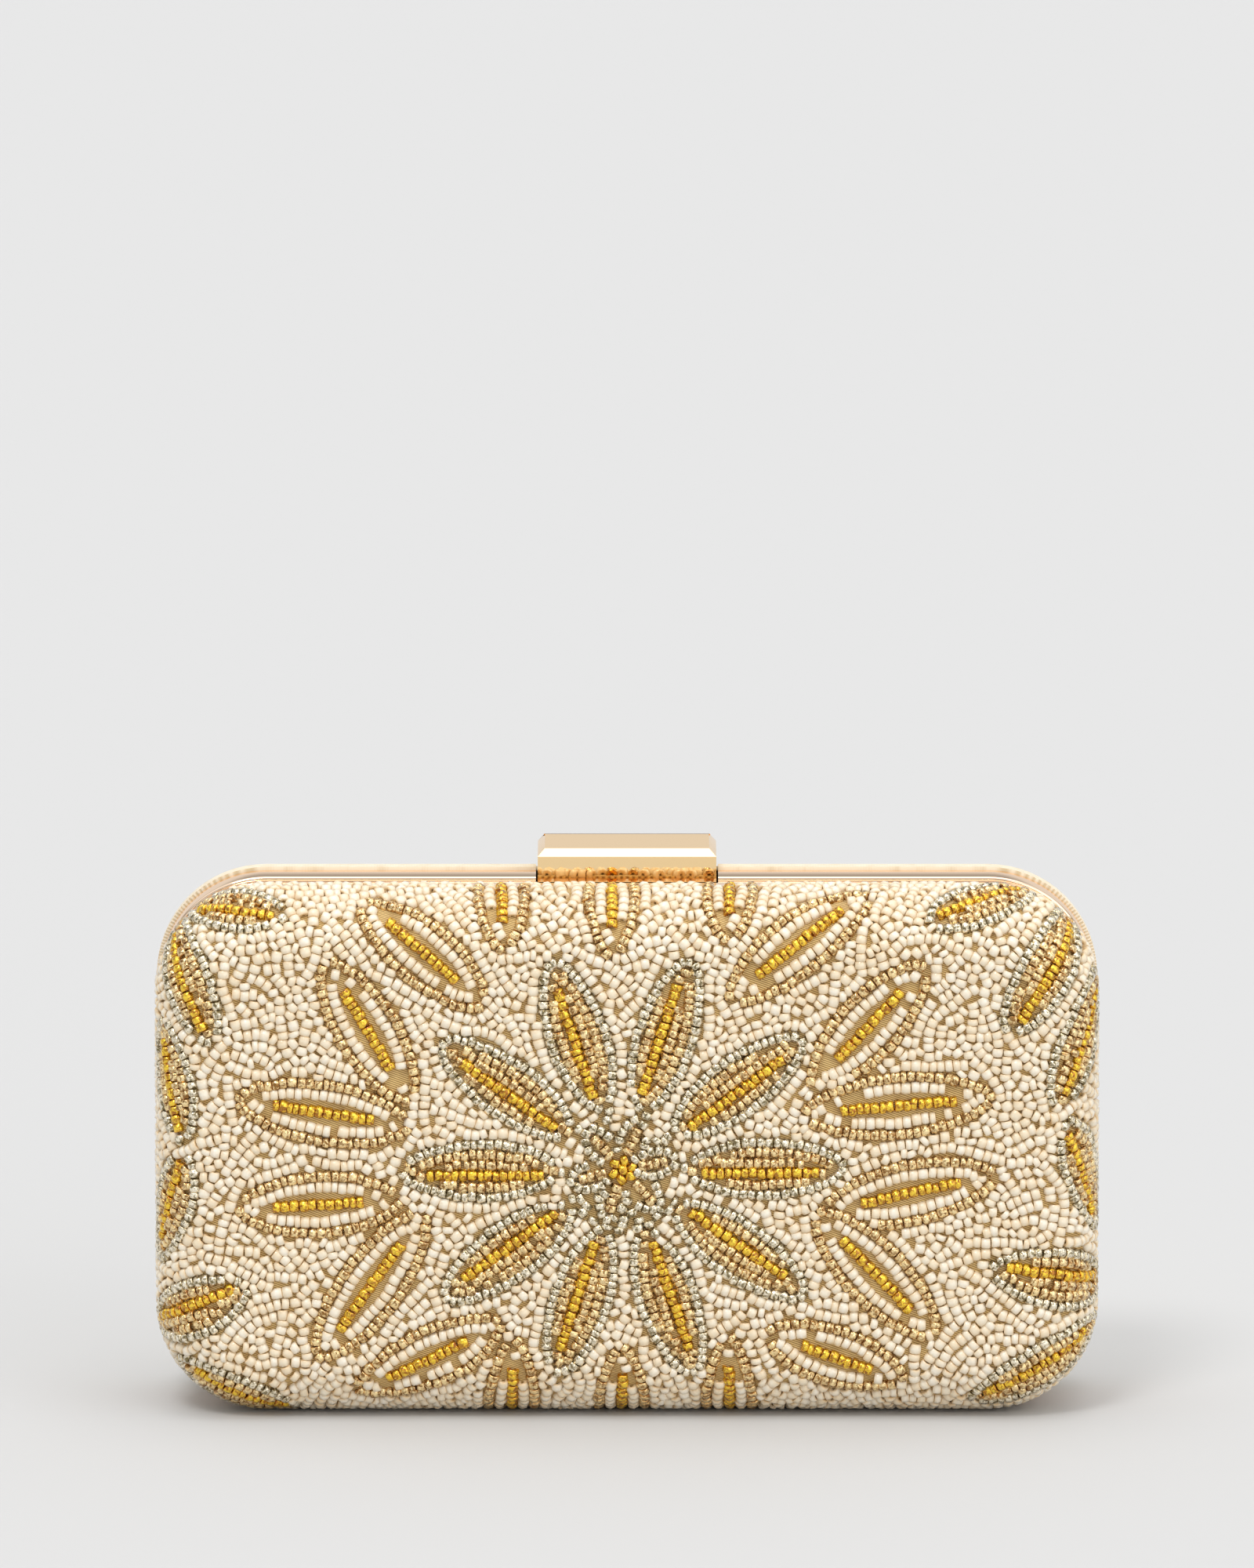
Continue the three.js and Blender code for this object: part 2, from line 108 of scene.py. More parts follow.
def mesh_from(bm, name):
    """A bmesh as a mesh; the bmesh is used up."""
    mesh = bpy.data.meshes.new(name)
    bm.to_mesh(mesh)
    bm.free()
    return mesh


# ---- Camera ----


def add_camera():
    """A long lens, 12 degrees above the bag, aimed a little over its middle."""
    distance, rise, aim_above = 5.0, math.radians(12), math.radians(0.87)
    target = Vector((0, -0.0235, MIDDLE * MM))
    data = bpy.data.cameras.new("camera")
    data.lens = 567.5
    data.sensor_width = 36
    data.sensor_fit = "AUTO"
    data.clip_end = 30
    camera = put("camera", data)
    camera.location = target + distance * Vector((0, -math.cos(rise), math.sin(rise)))
    camera.rotation_euler = (math.pi / 2 - rise + aim_above, 0, 0)
    bpy.context.scene.camera = camera


add_camera()

# ---- Materials ----


def linear(hex_colour):
    """An sRGB hex colour as linear RGBA."""
    values = [int(hex_colour[i : i + 2], 16) / 255 for i in (1, 3, 5)]
    return [v / 12.92 if v <= 0.04045 else ((v + 0.055) / 1.055) ** 2.4 for v in values] + [1.0]


def start_material(name, colour, **settings):
    """A Principled material and its shader node, with settings on the shader's own sockets."""
    material = bpy.data.materials.new(name)
    material.use_nodes = True
    shader = material.node_tree.nodes["Principled BSDF"]
    shader.inputs["Base Color"].default_value = linear(colour)
    material.diffuse_color = linear(colour)
    for socket, value in settings.items():
        shader.inputs[socket.replace("_", " ")].default_value = value
    return material, shader


def add_node(material, kind, links=(), **settings):
    """Adds a node; settings name its properties or inputs, links are (input, output socket)."""
    node = material.node_tree.nodes.new("ShaderNode" + kind)
    for name, value in settings.items():
        key = name.replace("_", " ")
        if key in node.inputs:
            node.inputs[key].default_value = value
        else:
            setattr(node, name, value)
    for socket, source in links:
        material.node_tree.links.new(source, node.inputs[socket])
    return node


def wire(material, source, target):
    material.node_tree.links.new(source, target)


def blend_colours(material, factor, stops):
    """A colour ramp on a factor, from (position, hex) stops."""
    ramp = add_node(material, "ValToRGB", [("Fac", factor)])
    elements = ramp.color_ramp.elements
    for element, (position, colour) in zip(elements, stops):
        element.position = position
        element.color = linear(colour)
    for position, colour in stops[2:]:
        elements.new(position).color = linear(colour)
    return ramp.outputs["Color"]


def object_place(material, **mapping):
    """The object's own coordinates, moved or stretched where a mapping is given."""
    place = add_node(material, "TexCoord").outputs["Object"]
    if not mapping:
        return place
    return add_node(material, "Mapping", [("Vector", place)], **mapping).outputs[0]


def vary_roughness(material, shader, pattern, low, high):
    """Spreads a pattern over a range of roughness."""
    links = [("Value", pattern.outputs["Fac"])]
    spread = add_node(material, "MapRange", links, To_Min=low, To_Max=high)
    wire(material, spread.outputs["Result"], shader.inputs["Roughness"])


def raise_bump(material, shader, height, strength, distance):
    """Raises a height by a distance in metres at most."""
    links = [("Height", height)]
    bump = add_node(material, "Bump", links, Strength=strength, Distance=distance)
    wire(material, bump.outputs["Normal"], shader.inputs["Normal"])


def bead_shade(material, colour, shader, ends):
    """Paints shade and warm bounced light into a bead's colour, low down and at its ends, where
    light comes by way of the thread and the beads beside it."""
    # The attribute's share sets how much painted shade each spot of a bead gets.
    share = add_node(material, "Attribute", attribute_name="painted_gap_shade")
    shaded = add_node(material, "Mix", data_type="RGBA", blend_type="MULTIPLY")
    # The mix node's colour sockets come after those for numbers and vectors.
    factor, colour_a, colour_b = (shaded.inputs[i] for i in (0, 6, 7))
    wire(material, share.outputs["Fac"], factor)
    wire(material, colour, colour_a)
    # ends is the colour of the painted shade between the beads.
    colour_b.default_value = linear(ends)
    wire(material, shaded.outputs[2], shader.inputs["Base Color"])


def opaque_bead(name, colours, seed):
    """Opaque lustred glass, pressed and fired: bright, slightly waxy, with a glassy skin."""
    material, shader = start_material(
        name, colours[0], Roughness=0.3, Coat_Weight=0.6, Coat_Roughness=0.1, IOR=1.5
    )
    place = object_place(material, Location=(seed, 0, seed))
    # One patch of colour is about as large as one bead, so neighbours differ a little.
    patches = add_node(material, "TexNoise", [("Vector", place)], Scale=420, Detail=1.0)
    colour = blend_colours(
        material, patches.outputs["Fac"], [(0.35, colours[0]), (0.65, colours[1])]
    )
    # F4D9AC is painted shade between the beads, warm as if lit by light bounced off them.
    bead_shade(material, colour, shader, "#F4D9AC")
    return material


def metal_bead(name, dark, bright, ends):
    """Glass with a metal lining: a bright wrinkled mirror seen through a drum of clear glass, its
    reflections partly painted into its colour.
    """
    material, shader = start_material(
        name, bright, Metallic=0.75, Roughness=0.2, Coat_Weight=0.7, Coat_Roughness=0.04
    )
    links = [("Vector", object_place(material))]
    # Foil wrinkles not quite a millimetre apart: a real bump, with dark and bright patches painted
    # into the colour as the wrinkles' reflections and shade.
    foil_and_glints = add_node(
        material, "TexNoise", links, Scale=1250, Detail=2.0, Distortion=0.8
    ).outputs["Fac"]
    # The ramp from dark to bright paints reflections and shade of the wrinkles.
    colour = blend_colours(material, foil_and_glints, [(0.36, dark), (0.56, bright)])
    # Painted shade low down and at the bead's ends, in the ends colour.
    bead_shade(material, colour, shader, ends)
    raise_bump(material, shader, foil_and_glints, 0.7, 0.3 * MM)
    return material


def polished_metal(name, colour, roughness):
    """Brass plated with pale gold and buffed: a mirror with faint polishing marks."""
    material, shader = start_material(
        name, colour, Metallic=1.0, Roughness=roughness, Specular_Tint=linear("#FFF8F0")
    )
    # Buffing marks run along the frame, twelve times as long as they are wide.
    place = object_place(material, Scale=(1.0, 12.0, 12.0))
    marks = add_node(material, "TexNoise", [("Vector", place)], Scale=160, Detail=4.0)
    vary_roughness(material, shader, marks, roughness * 0.75, roughness * 1.35)
    return material


def woven_cloth(name, colours, thread, turn, sheen, roughness, depth, rib_share=1.0):
    """Cloth whose threads follow its own UV map, which is in millimetres: thread is the spacing
    of its ribs, rib_share how far they cover the threads across them, depth their height."""
    material, shader = start_material(
        name, colours[0], Roughness=roughness, Sheen_Weight=sheen, Sheen_Roughness=0.4
    )
    cloth = add_node(material, "UVMap", uv_map="cloth").outputs["UV"]
    turn = (0, 0, math.radians(turn))
    turned = add_node(material, "Mapping", [("Vector", cloth)], Rotation=turn).outputs[0]
    links = [("Vector", turned)]

    def threads(direction, spacing, **settings):
        # A sine wave repeats every 1/scale * 2 pi / 20 units in a wave texture.
        settings.update(bands_direction=direction, Scale=math.pi / 10 / spacing)
        return add_node(material, "TexWave", links, **settings).outputs["Fac"]

    ribs = threads("Y", thread, Distortion=0.25, Detail=1.0)
    across = threads("X", thread * 0.6, Distortion=0.3)
    waves = [("A", across), ("B", ribs)]
    weave = add_node(material, "Mix", waves, Factor=rib_share).outputs["Result"]
    slubs = add_node(material, "TexNoise", links, Scale=0.35, Detail=3.0)
    both = add_node(material, "Math", operation="MULTIPLY", use_clamp=True)
    wire(material, weave, both.inputs[0])
    wire(material, slubs.outputs["Fac"], both.inputs[1])
    colour = blend_colours(material, both.outputs[0], [(0.05, colours[1]), (0.45, colours[0])])
    wire(material, colour, shader.inputs["Base Color"])
    raise_bump(material, shader, weave, 0.6, depth * MM)
    return material


def satin_steel(name, colour):
    """Stamped steel, tumbled smooth: soft grey with a fine even grain."""
    material, shader = start_material(name, colour, Metallic=1.0, Roughness=0.35)
    links = [("Vector", object_place(material))]
    grain = add_node(material, "TexNoise", links, Scale=900, Detail=3.0)
    vary_roughness(material, shader, grain, 0.28, 0.45)
    return material


IVORY = [
    opaque_bead("ivory_bead", ("#EEE0C6", "#F2E8D3"), 0.0),
    opaque_bead("ivory_bead_cool", ("#F0E5D0", "#F4ECDB"), 1.7),
    opaque_bead("ivory_bead_warm", ("#EDDCBE", "#F0E2C8"), 3.1),
]
# For each metal bead: the dark and bright tones of its painted reflections, then the colour of its
# painted shade low down and at its ends.
SILVER = [metal_bead("silver_bead", "#7C6C40", "#FFF5DE", "#D0BE88")]
CHAMPAGNE = [metal_bead("champagne_bead", "#906216", "#FFE7AE", "#DCAA4C")]
GOLD = [metal_bead("gold_bead", "#A86800", "#FFDA3C", "#E0A010")]
FRAME_GOLD = polished_metal("pale_gold_plate", "#FFE3C6", 0.08)
BAR_GOLD = polished_metal("clasp_gold_plate", "#FFDEA8", 0.05)
STEEL = satin_steel("satin_steel", "#B8B8BA")
SHELL_METAL = satin_steel("pressed_tray", "#C9C2AC")
GROUND_SATIN = woven_cloth("ground_satin", ("#E6C684", "#967034"), 0.42, 20, 0.3, 0.5, 0.12, 0.95)
# Faille's cords are about half a millimetre apart; they are drawn at 0.9 mm so that they show.
RIBBED = woven_cloth("ribbed_faille", ("#FAEFD9", "#DECBA6"), 0.9, 0, 0.25, 0.6, 0.14, 0.9)
LINING_SATIN = woven_cloth("lining_satin", ("#EBDDBE", "#CDBB96"), 0.25, 0, 0.5, 0.38, 0.02, 0.7)

# ---- The surface of a half ----


def bulge(x, z):
    """How far the domed face stands out at a point, z counted from the middle."""
    u = x / (CASE_WIDTH / 2 - EDGE)
    v = z / (CASE_HEIGHT / 2 - EDGE)
    return DOME * max(0.0, 1 - u * u) * max(0.0, 1 - v * v)


def on_front(u, v, depth):
    """A point and outward normal on the front half, from flat pattern coordinates whose zero is
    the face's middle. The pattern is rolled over the edges, depth is measured into the cover."""
    cx = min(max(u, -CORNER_HUB_X), CORNER_HUB_X)
    cz = min(max(v, -CORNER_HUB_Z), CORNER_HUB_Z)
    dx, dz = u - cx, v - cz
    reach = math.hypot(dx, dz)
    if reach <= FLAT_CORNER:
        # The slope of the dome, over a millimetre
        sx = -(bulge(u + 0.5, v) - bulge(u - 0.5, v))
        sz = -(bulge(u, v + 0.5) - bulge(u, v - 0.5))
        normal = Vector((sx, -1, sz)).normalized()
        depth_y = EDGE_START + EDGE + bulge(u, v) - depth
        return Vector((u, -depth_y, MIDDLE + v)), normal
    nx, nz = dx / reach, dz / reach
    over = reach - FLAT_CORNER
    turn = min(over, QUARTER) / EDGE
    down = max(over - QUARTER, 0)
    radius = EDGE - depth
    out = FLAT_CORNER + radius * math.sin(turn)
    y = EDGE_START + radius * math.cos(turn) - down
    normal = Vector((nx * math.sin(turn), -math.cos(turn), nz * math.sin(turn)))
    return Vector((cx + nx * out, -y, MIDDLE + cz + nz * out)), normal


def unrolled(point):
    """The flat pattern coordinates of a point on either half's surface."""
    x, y, z = point.x, abs(point.y), point.z - MIDDLE
    cx = min(max(x, -CORNER_HUB_X), CORNER_HUB_X)
    cz = min(max(z, -CORNER_HUB_Z), CORNER_HUB_Z)
    dx, dz = x - cx, z - cz
    reach = math.hypot(dx, dz)
    if reach <= FLAT_CORNER or reach < 1e-6:
        return x, z
    if y <= EDGE_START:
        along = QUARTER + EDGE_START - y
    else:
        along = EDGE * math.atan2(reach - FLAT_CORNER, y - EDGE_START)
    stretch = (FLAT_CORNER + along) / reach
    return cx + dx * stretch, cz + dz * stretch


# ---- The beadwork ----

# Radius and length of each kind of bead
BEADS = {
    "ivory": (1.22, 1.78),
    "silver": (1.13, 1.64),
    "champagne": (1.15, 1.7),
    "gold": (1.16, 1.64),
}
# How deep in the cover the beads' middles and the satin under them lie
BEAD_DEPTH = 1.08
GROUND_DEPTH = 1.3
# The beadwork goes on for this far down the sides, below the rounded edge.
DOWN_SIDES = 1.1
PATTERN_X = CASE_WIDTH / 2 - EDGE + QUARTER + DOWN_SIDES
PATTERN_Z = CASE_HEIGHT / 2 - EDGE + QUARTER + DOWN_SIDES
PATTERN_CORNER = FLAT_CORNER + QUARTER + DOWN_SIDES
# Beads further apart than this can't touch, and nearer than this they are in one place.
FAR_APART = 2.6
SAME_PLACE = 0.5
CELL = 2.8
# Exponent of a bead's outline: 2 is an ellipse, more is squarer.
SQUARENESS = 2.6
PROBE = 0.1
# A string is full when less than this is left, and its beads then spread to fill it.
LEAST_GAP = 0.6
MOST_STRETCH = 1.08
# Metal-lined beads press against each other, so they are drawn a little fatter than their room.
LINED_SWELL = 1.1

beads = []
cells = {}


def in_pattern(u, v):
    """True inside the beaded area, whose edge lies just short of the frame."""
    dx = abs(u) - (PATTERN_X - PATTERN_CORNER)
    dz = abs(v) - (PATTERN_Z - PATTERN_CORNER)
    if dx <= 0 or dz <= 0:
        return abs(u) <= PATTERN_X and abs(v) <= PATTERN_Z
    return math.hypot(dx, dz) <= PATTERN_CORNER


def squashed(value, low, high):
    return min(max(value, low), high)


def heading(turn):
    """The direction on the pattern at an angle from the right."""
    return math.cos(turn), math.sin(turn)


def draw_size(kind):
    """The radius and half length of the next bead from the bag: no two are quite alike."""
    radius, length = BEADS[kind]
    radius *= squashed(rng.gauss(1, 0.045), 0.88, 1.1)
    return radius, length / 2 * squashed(rng.gauss(1, 0.14), 0.72, 1.4)


class Bead:
    """A drum of glass on its thread, at a place on the pattern."""

    def __init__(self, u, v, direction, kind, size):
        self.u, self.v, self.direction, self.kind = u, v, direction, kind
        self.radius, self.half = size
        self.settle()

    def settle(self):
        """Works out the bead's place on the cover and the way that its thread runs."""
        self.point, self.normal = on_front(self.u, self.v, BEAD_DEPTH)
        du, dv = self.direction
        ahead, _ = on_front(self.u + du * PROBE, self.v + dv * PROBE, BEAD_DEPTH)
        along = ahead - self.point
        along -= self.normal * along.dot(self.normal)
        self.along = along.normalized()
        self.cell = tuple(math.floor(c / CELL) for c in self.point)

    def reach(self, way):
        """Half of the bead's size in a direction."""
        t = abs(way.dot(self.along))
        side = math.sqrt(max(0.0, 1 - t * t))
        longways, sideways = (t / self.half) ** SQUARENESS, (side / self.radius) ** SQUARENESS
        return (longways + sideways) ** (-1 / SQUARENESS)

    def neighbours(self):
        """The beads in its own cell and those around it."""
        i, j, k = self.cell
        for a in (i - 1, i, i + 1):
            for b in (j - 1, j, j + 1):
                for c in (k - 1, k, k + 1):
                    yield from cells.get((a, b, c), ())

    def is_free(self, slack):
        """True if the bead has room; less than 1 lets it press against the ones around it."""
        for other in self.neighbours():
            gap = self.point - other.point
            distance = gap.length
            if distance > FAR_APART:
                continue
            if distance < SAME_PLACE:
                return False
            way = gap / distance
            if distance < slack * (self.reach(way) + other.reach(way)):
                return False
        return True


def sew(u, v, direction, kind, slack=None, size=None):
    """Sews a bead at a place on the pattern. Returns it, or None where it has no room."""
    if not in_pattern(u, v):
        return None
    bead = Bead(u, v, direction, kind, size or draw_size(kind))
    if slack is not None and not bead.is_free(slack):
        return None
    beads.append(bead)
    cells.setdefault(bead.cell, []).append(bead)
    return bead


def string_of_beads(path, kind, slack=None, closed=False):
    """Threads beads side by side along a path of pattern points, so that they fill it."""
    places = [on_front(u, v, BEAD_DEPTH)[0] for u, v in path]
    lengths = [0.0]
    for a, b in zip(places, places[1:]):
        lengths.append(lengths[-1] + (b - a).length)
    total = lengths[-1]
    sizes, filled = [], 0.0
    spare = 0 if closed else BEADS[kind][1]
    while filled < total + spare - LEAST_GAP:
        sizes.append(draw_size(kind))
        filled += 2 * sizes[-1][1]
    stretch = (total + spare) / filled
    position = -spare / 2
    index = 0
    for radius, half in sizes:
        target = squashed(position + half * stretch, 0, total - 1e-6)
        position += 2 * half * stretch
        while index < len(lengths) - 2 and lengths[index + 1] < target:
            index += 1
        share = (target - lengths[index]) / max(lengths[index + 1] - lengths[index], 1e-9)
        (u0, v0), (u1, v1) = path[index], path[index + 1]
        length = math.hypot(u1 - u0, v1 - v0) or 1.0
        direction = ((u1 - u0) / length, (v1 - v0) / length)
        stray = squashed(rng.gauss(0, 0.11), -0.25, 0.25)
        u = u0 + (u1 - u0) * share - direction[1] * stray
        v = v0 + (v1 - v0) * share + direction[0] * stray
        sew(u, v, direction, kind, slack, (radius, half * min(stretch, MOST_STRETCH)))


class Leaf:
    """A leaf between two points of the pattern, with its outline and places inside it."""

    def __init__(self, base, tip, half_width, fullness=(0.6, 0.6), middle=1.0):
        self.base = Vector(base)
        self.axis = Vector(tip) - self.base
        self.length = self.axis.length
        self.axis.normalize()
        self.across = Vector((-self.axis.y, self.axis.x))
        self.half_width = half_width
        self.fullness = fullness
        self.middle = middle

    def half(self, share):
        """Half of the leaf's width at a share of its length."""
        share = min(max(share, 0.0), 1.0)
        at_base, at_tip = self.fullness
        fullness = at_base + (at_tip - at_base) * share
        return self.half_width * math.sin(math.pi * share**self.middle) ** fullness

    def at(self, share, side):
        """The point at a share of the leaf's length and a distance to its side."""
        point = self.base + self.axis * (share * self.length) + self.across * side
        return point.x, point.y

    def contains(self, u, v, margin):
        """True inside the outline, widened by a margin."""
        offset = Vector((u, v)) - self.base
        along = offset.dot(self.axis) / self.length
        if not 0 < along < 1:
            return False
        return abs(offset.dot(self.across)) < self.half(along) + margin

    def outline(self, steps=60):
        """The outline as a closed path."""
        shares = [0.5 - 0.5 * math.cos(math.pi * i / steps) for i in range(steps + 1)]
        left = [self.at(share, self.half(share)) for share in shares]
        right = [self.at(share, -self.half(share)) for share in shares[-2:0:-1]]
        return left + right + left[:1]

    def inner(self, at_base, at_tip, half_width):
        """A narrower leaf inside this one, its ends moved in."""
        base = self.base + self.axis * at_base
        tip = self.base + self.axis * (self.length - at_tip)
        return Leaf(base, tip, half_width, self.fullness, self.middle)

    def row(self, start, end, side, steps=20):
        """A straight row inside the leaf, at a distance from its axis."""
        return [self.at(start + (end - start) * i / steps, side) for i in range(steps + 1)]


def petal(base, tip, lean):
    """A petal: a silver outline, a champagne one inside it, one more champagne row and a row of
    gold beside it, on the side that lean tells."""
    leaf = Leaf(base, tip, PETAL_HALF_WIDTH, (0.62, 0.48), 0.93)
    string_of_beads(leaf.row(0.11, 0.82, lean * 0.95), "gold")
    string_of_beads(leaf.outline(), "silver", slack=0.88, closed=True)
    string_of_beads(leaf.inner(2.3, 2.5, 3.4).outline(), "champagne", slack=0.8, closed=True)
    string_of_beads(leaf.row(0.16, 0.8, -lean * 1.25), "champagne", slack=0.8)
    fill_leaf(leaf, "champagne", 0)
    return leaf


def veined_leaf(base, tip, half_width, gold_from, gold_to):
    """A leaf: a champagne outline, an ivory one inside it, bare satin and a row of gold."""
    leaf = Leaf(base, tip, half_width, (0.56, 0.54))
    string_of_beads(leaf.row(gold_from, gold_to, 0.0), "gold")
    string_of_beads(leaf.outline(), "champagne", slack=0.88, closed=True)
    ring = leaf.inner(2.7, 2.7, half_width - 2.35)
    string_of_beads(ring.outline(), "ivory", slack=0.82, closed=True)
    fill_leaf(leaf, "ivory", 0.38)
    return leaf


def fill_leaf(leaf, kind, from_middle):
    """Adds beads along a leaf wherever it still has room, from a share of its length on either
    side of its middle. Each pass packs them more tightly."""
    step, most_steps, inset = 0.4, 12, 0.8
    way = (leaf.axis.x, leaf.axis.y)
    for slack in (0.92, 0.84, 0.76):
        for i in range(int(leaf.length / step)):
            share = i * step / leaf.length
            if abs(share - 0.5) < from_middle:
                continue
            for j in range(-most_steps, most_steps + 1):
                side = j * step
                if abs(side) < leaf.half(share) - inset:
                    sew(*leaf.at(share, side), way, kind, slack)


# The flower's middle, its petals, and how far from its middle they and the heart reach
FLOWER = (-0.8, -2.1)
PETALS = 10
HEART_RADIUS = 12.6
PETAL_BASE = 13.2
PETAL_TIP = 44.6
PETAL_HALF_WIDTH = 5.5

# Where each leaf's gold row ends, on the pattern: its far end and the end near the flower.
LEAVES = [
    ((-48, 49), (-35, 37)),
    ((-57, 34), (-48, 19)),
    ((-71, 11), (-52, 8)),
    ((-71, -10), (-54, -9)),
    ((-58, -35), (-46, -18)),
    ((-48, -46), (-33, -38)),
    ((49, -44), (36, -39)),
    ((57, -31), (44, -17)),
    ((67, -5), (48, -9)),
    ((66, 12), (44, 10)),
    ((55, 34), (43, 21)),
    ((43, 52), (27, 38)),
]

# Leaves that run over the top or bottom edge: their tips on the face.
EDGE_LEAVES = [(-25, 43), (-3, 42), (20.5, 45), (-23, -37.5), (-1, -39), (20.5, -37)]

# Petals near the sides, most of them running over the edge: base and tip.
SIDE_PETALS = [
    ((-69, 51), (-95, 57), 1),
    ((-84, 24), (-99, 53), 1),
    ((-91, 3), (-98, 27), 1),
    ((-90, 0), (-100, -22), -1),
    ((-77, -27), (-104, -38), -1),
    ((-67, -58.5), (-94, -45.5), -1),
    ((61, 49), (86, 63), 1),
    ((77, 26), (97, 56), -1),
    ((87, 11), (103, 38), -1),
    ((90, 7), (102, -16), -1),
    ((74, -23), (105, -28), 1),
    ((70, -53), (102, -36), 1),
]


def from_flower(way, far):
    """The place at a distance from the flower's middle."""
    return FLOWER[0] + way[0] * far, FLOWER[1] + way[1] * far


def sew_heart():
    """The flower's heart: gold beads, small champagne petals and silver beads round them."""
    gold_ring, loop_base, loop_tip, ivory_from = 1.95, 2.9, 10.8, 8.8
    sew(*FLOWER, (1, 0), "gold")
    for i in range(6):
        turn = math.radians(60 * i + 20)
        askew = (-math.sin(turn + 0.6), math.cos(turn + 0.6))
        sew(*from_flower(heading(turn), gold_ring), askew, "gold", 0.8)
    for i in range(6):
        way = heading(math.radians(60 * i + 12))
        base, tip = from_flower(way, loop_base), from_flower(way, loop_tip)
        loop = Leaf(base, tip, 2.6, (0.6, 0.5), 0.8)
        string_of_beads(loop.row(0.14, 0.7, 0), "champagne", slack=0.84)
        string_of_beads(loop.outline(), "silver", slack=0.84, closed=True)
    for slack in (0.9, 0.82, 0.76):
        for _ in range(900):
            turn, far = rng.uniform(0, 2 * math.pi), HEART_RADIUS * math.sqrt(rng.random())
            way = heading(turn)
            # Small ivory patches show between the petals on the flower's upper side.
            between = math.cos(PETALS * turn) < 0.2
            patch = far > ivory_from and between and way[1] > -0.45
            kind = "ivory" if patch else "silver"
            sew(*from_flower(way, far), way, kind, slack)


def sew_flower():
    """Ten petals round the heart. Four of them have their gold row on the other side."""
    petals = []
    for i in range(PETALS):
        way = heading(math.radians(36 * i + 0.5))
        base, tip = from_flower(way, PETAL_BASE), from_flower(way, PETAL_TIP)
        petals.append(petal(base, tip, -1 if i in (0, 1, 6, 7) else 1))
    return petals


def sew_leaves():
    """The ring of leaves round the flower, and those that run over the top and bottom edges."""
    # How far a leaf goes on past its gold row, towards the flower and away from it
    before_gold, past_gold = 8.0, 7.5
    leaves = []
    for far, near in LEAVES:
        way = (Vector(far) - Vector(near)).normalized()
        base = Vector(near) - way * before_gold
        tip = Vector(far) + way * past_gold
        length = (tip - base).length
        leaf = veined_leaf(base, tip, 5.9, before_gold / length, 1 - past_gold / length)
        leaves.append(leaf)
    for u, v in EDGE_LEAVES:
        end = math.copysign(PATTERN_Z + 9, v)
        length = abs(end - v)
        leaves.append(veined_leaf((u, v), (u * 1.03, end), 4.75, 7.0 / length, 0.93))
    return leaves


OUTLINE_HALF = 0.9
LEAF_CELL = 10
leaf_cells = {}


def near_leaves(u, v, leaves):
    """The leaves whose box is near a place, kept in squares of 10 mm."""
    if not leaf_cells:
        for leaf in leaves:
            tip = leaf.base + leaf.axis * leaf.length
            margin = leaf.half_width + 1
            spans = []
            for a, b in ((leaf.base.x, tip.x), (leaf.base.y, tip.y)):
                low = math.floor((min(a, b) - margin) / LEAF_CELL)
                spans.append(range(low, math.floor((max(a, b) + margin) / LEAF_CELL) + 1))
            for column in spans[0]:
                for row in spans[1]:
                    leaf_cells.setdefault((column, row), []).append(leaf)
    return leaf_cells.get((math.floor(u / LEAF_CELL), math.floor(v / LEAF_CELL)), ())


def seed_places(spacing):
    """Jittered places all over the beaded area, in random order."""
    places = []
    rows = int(2 * PATTERN_Z / spacing)
    columns = int(2 * PATTERN_X / spacing)
    for i in range(rows + 1):
        for j in range(columns + 1):
            u = -PATTERN_X + j * spacing + rng.uniform(-0.4, 0.4) * spacing
            v = -PATTERN_Z + i * spacing + rng.uniform(-0.4, 0.4) * spacing
            if in_pattern(u, v):
                places.append((u, v))
    rng.shuffle(places)
    return places


def is_ground(u, v, leaves):
    """True outside the leaves, the petals and the flower's heart, and where a leaf's outline
    runs, so that ivory beads close an outline's open tip."""
    if math.hypot(u - FLOWER[0], v - FLOWER[1]) < HEART_RADIUS:
        return False
    return not any(leaf.contains(u, v, -OUTLINE_HALF) for leaf in near_leaves(u, v, leaves))


def grow(bead, sense, slack, longest, leaves, sewn):
    """Sews a gently bending string of ivory beads from a bead on, until it is blocked."""
    bend = rng.gauss(0, 0.08)
    ahead = math.atan2(bead.direction[1] * sense, bead.direction[0] * sense)
    for _ in range(longest):
        size = draw_size("ivory")
        step = bead.half + size[1]
        for swing in (0, 0.2, -0.2, 0.4, -0.4, 0.7, -0.7):
            turn = ahead + bend + swing
            way = heading(turn)
            u, v = bead.u + way[0] * step, bead.v + way[1] * step
            added = is_ground(u, v, leaves) and sew(u, v, way, "ivory", slack, size)
            if added:
                bead, ahead = added, turn
                sewn.append(bead)
                break
        else:
            return


def start_string(u, v, turn, slack, longest, leaves):
    """Sews a short string both ways from a place; returns its beads, or none where it's taken."""
    first = is_ground(u, v, leaves) and sew(u, v, heading(turn), "ivory", slack)
    if not first:
        return []
    sewn = [first]
    grow(first, 1, slack, longest, leaves, sewn)
    grow(first, -1, slack, longest, leaves, sewn)
    return sewn


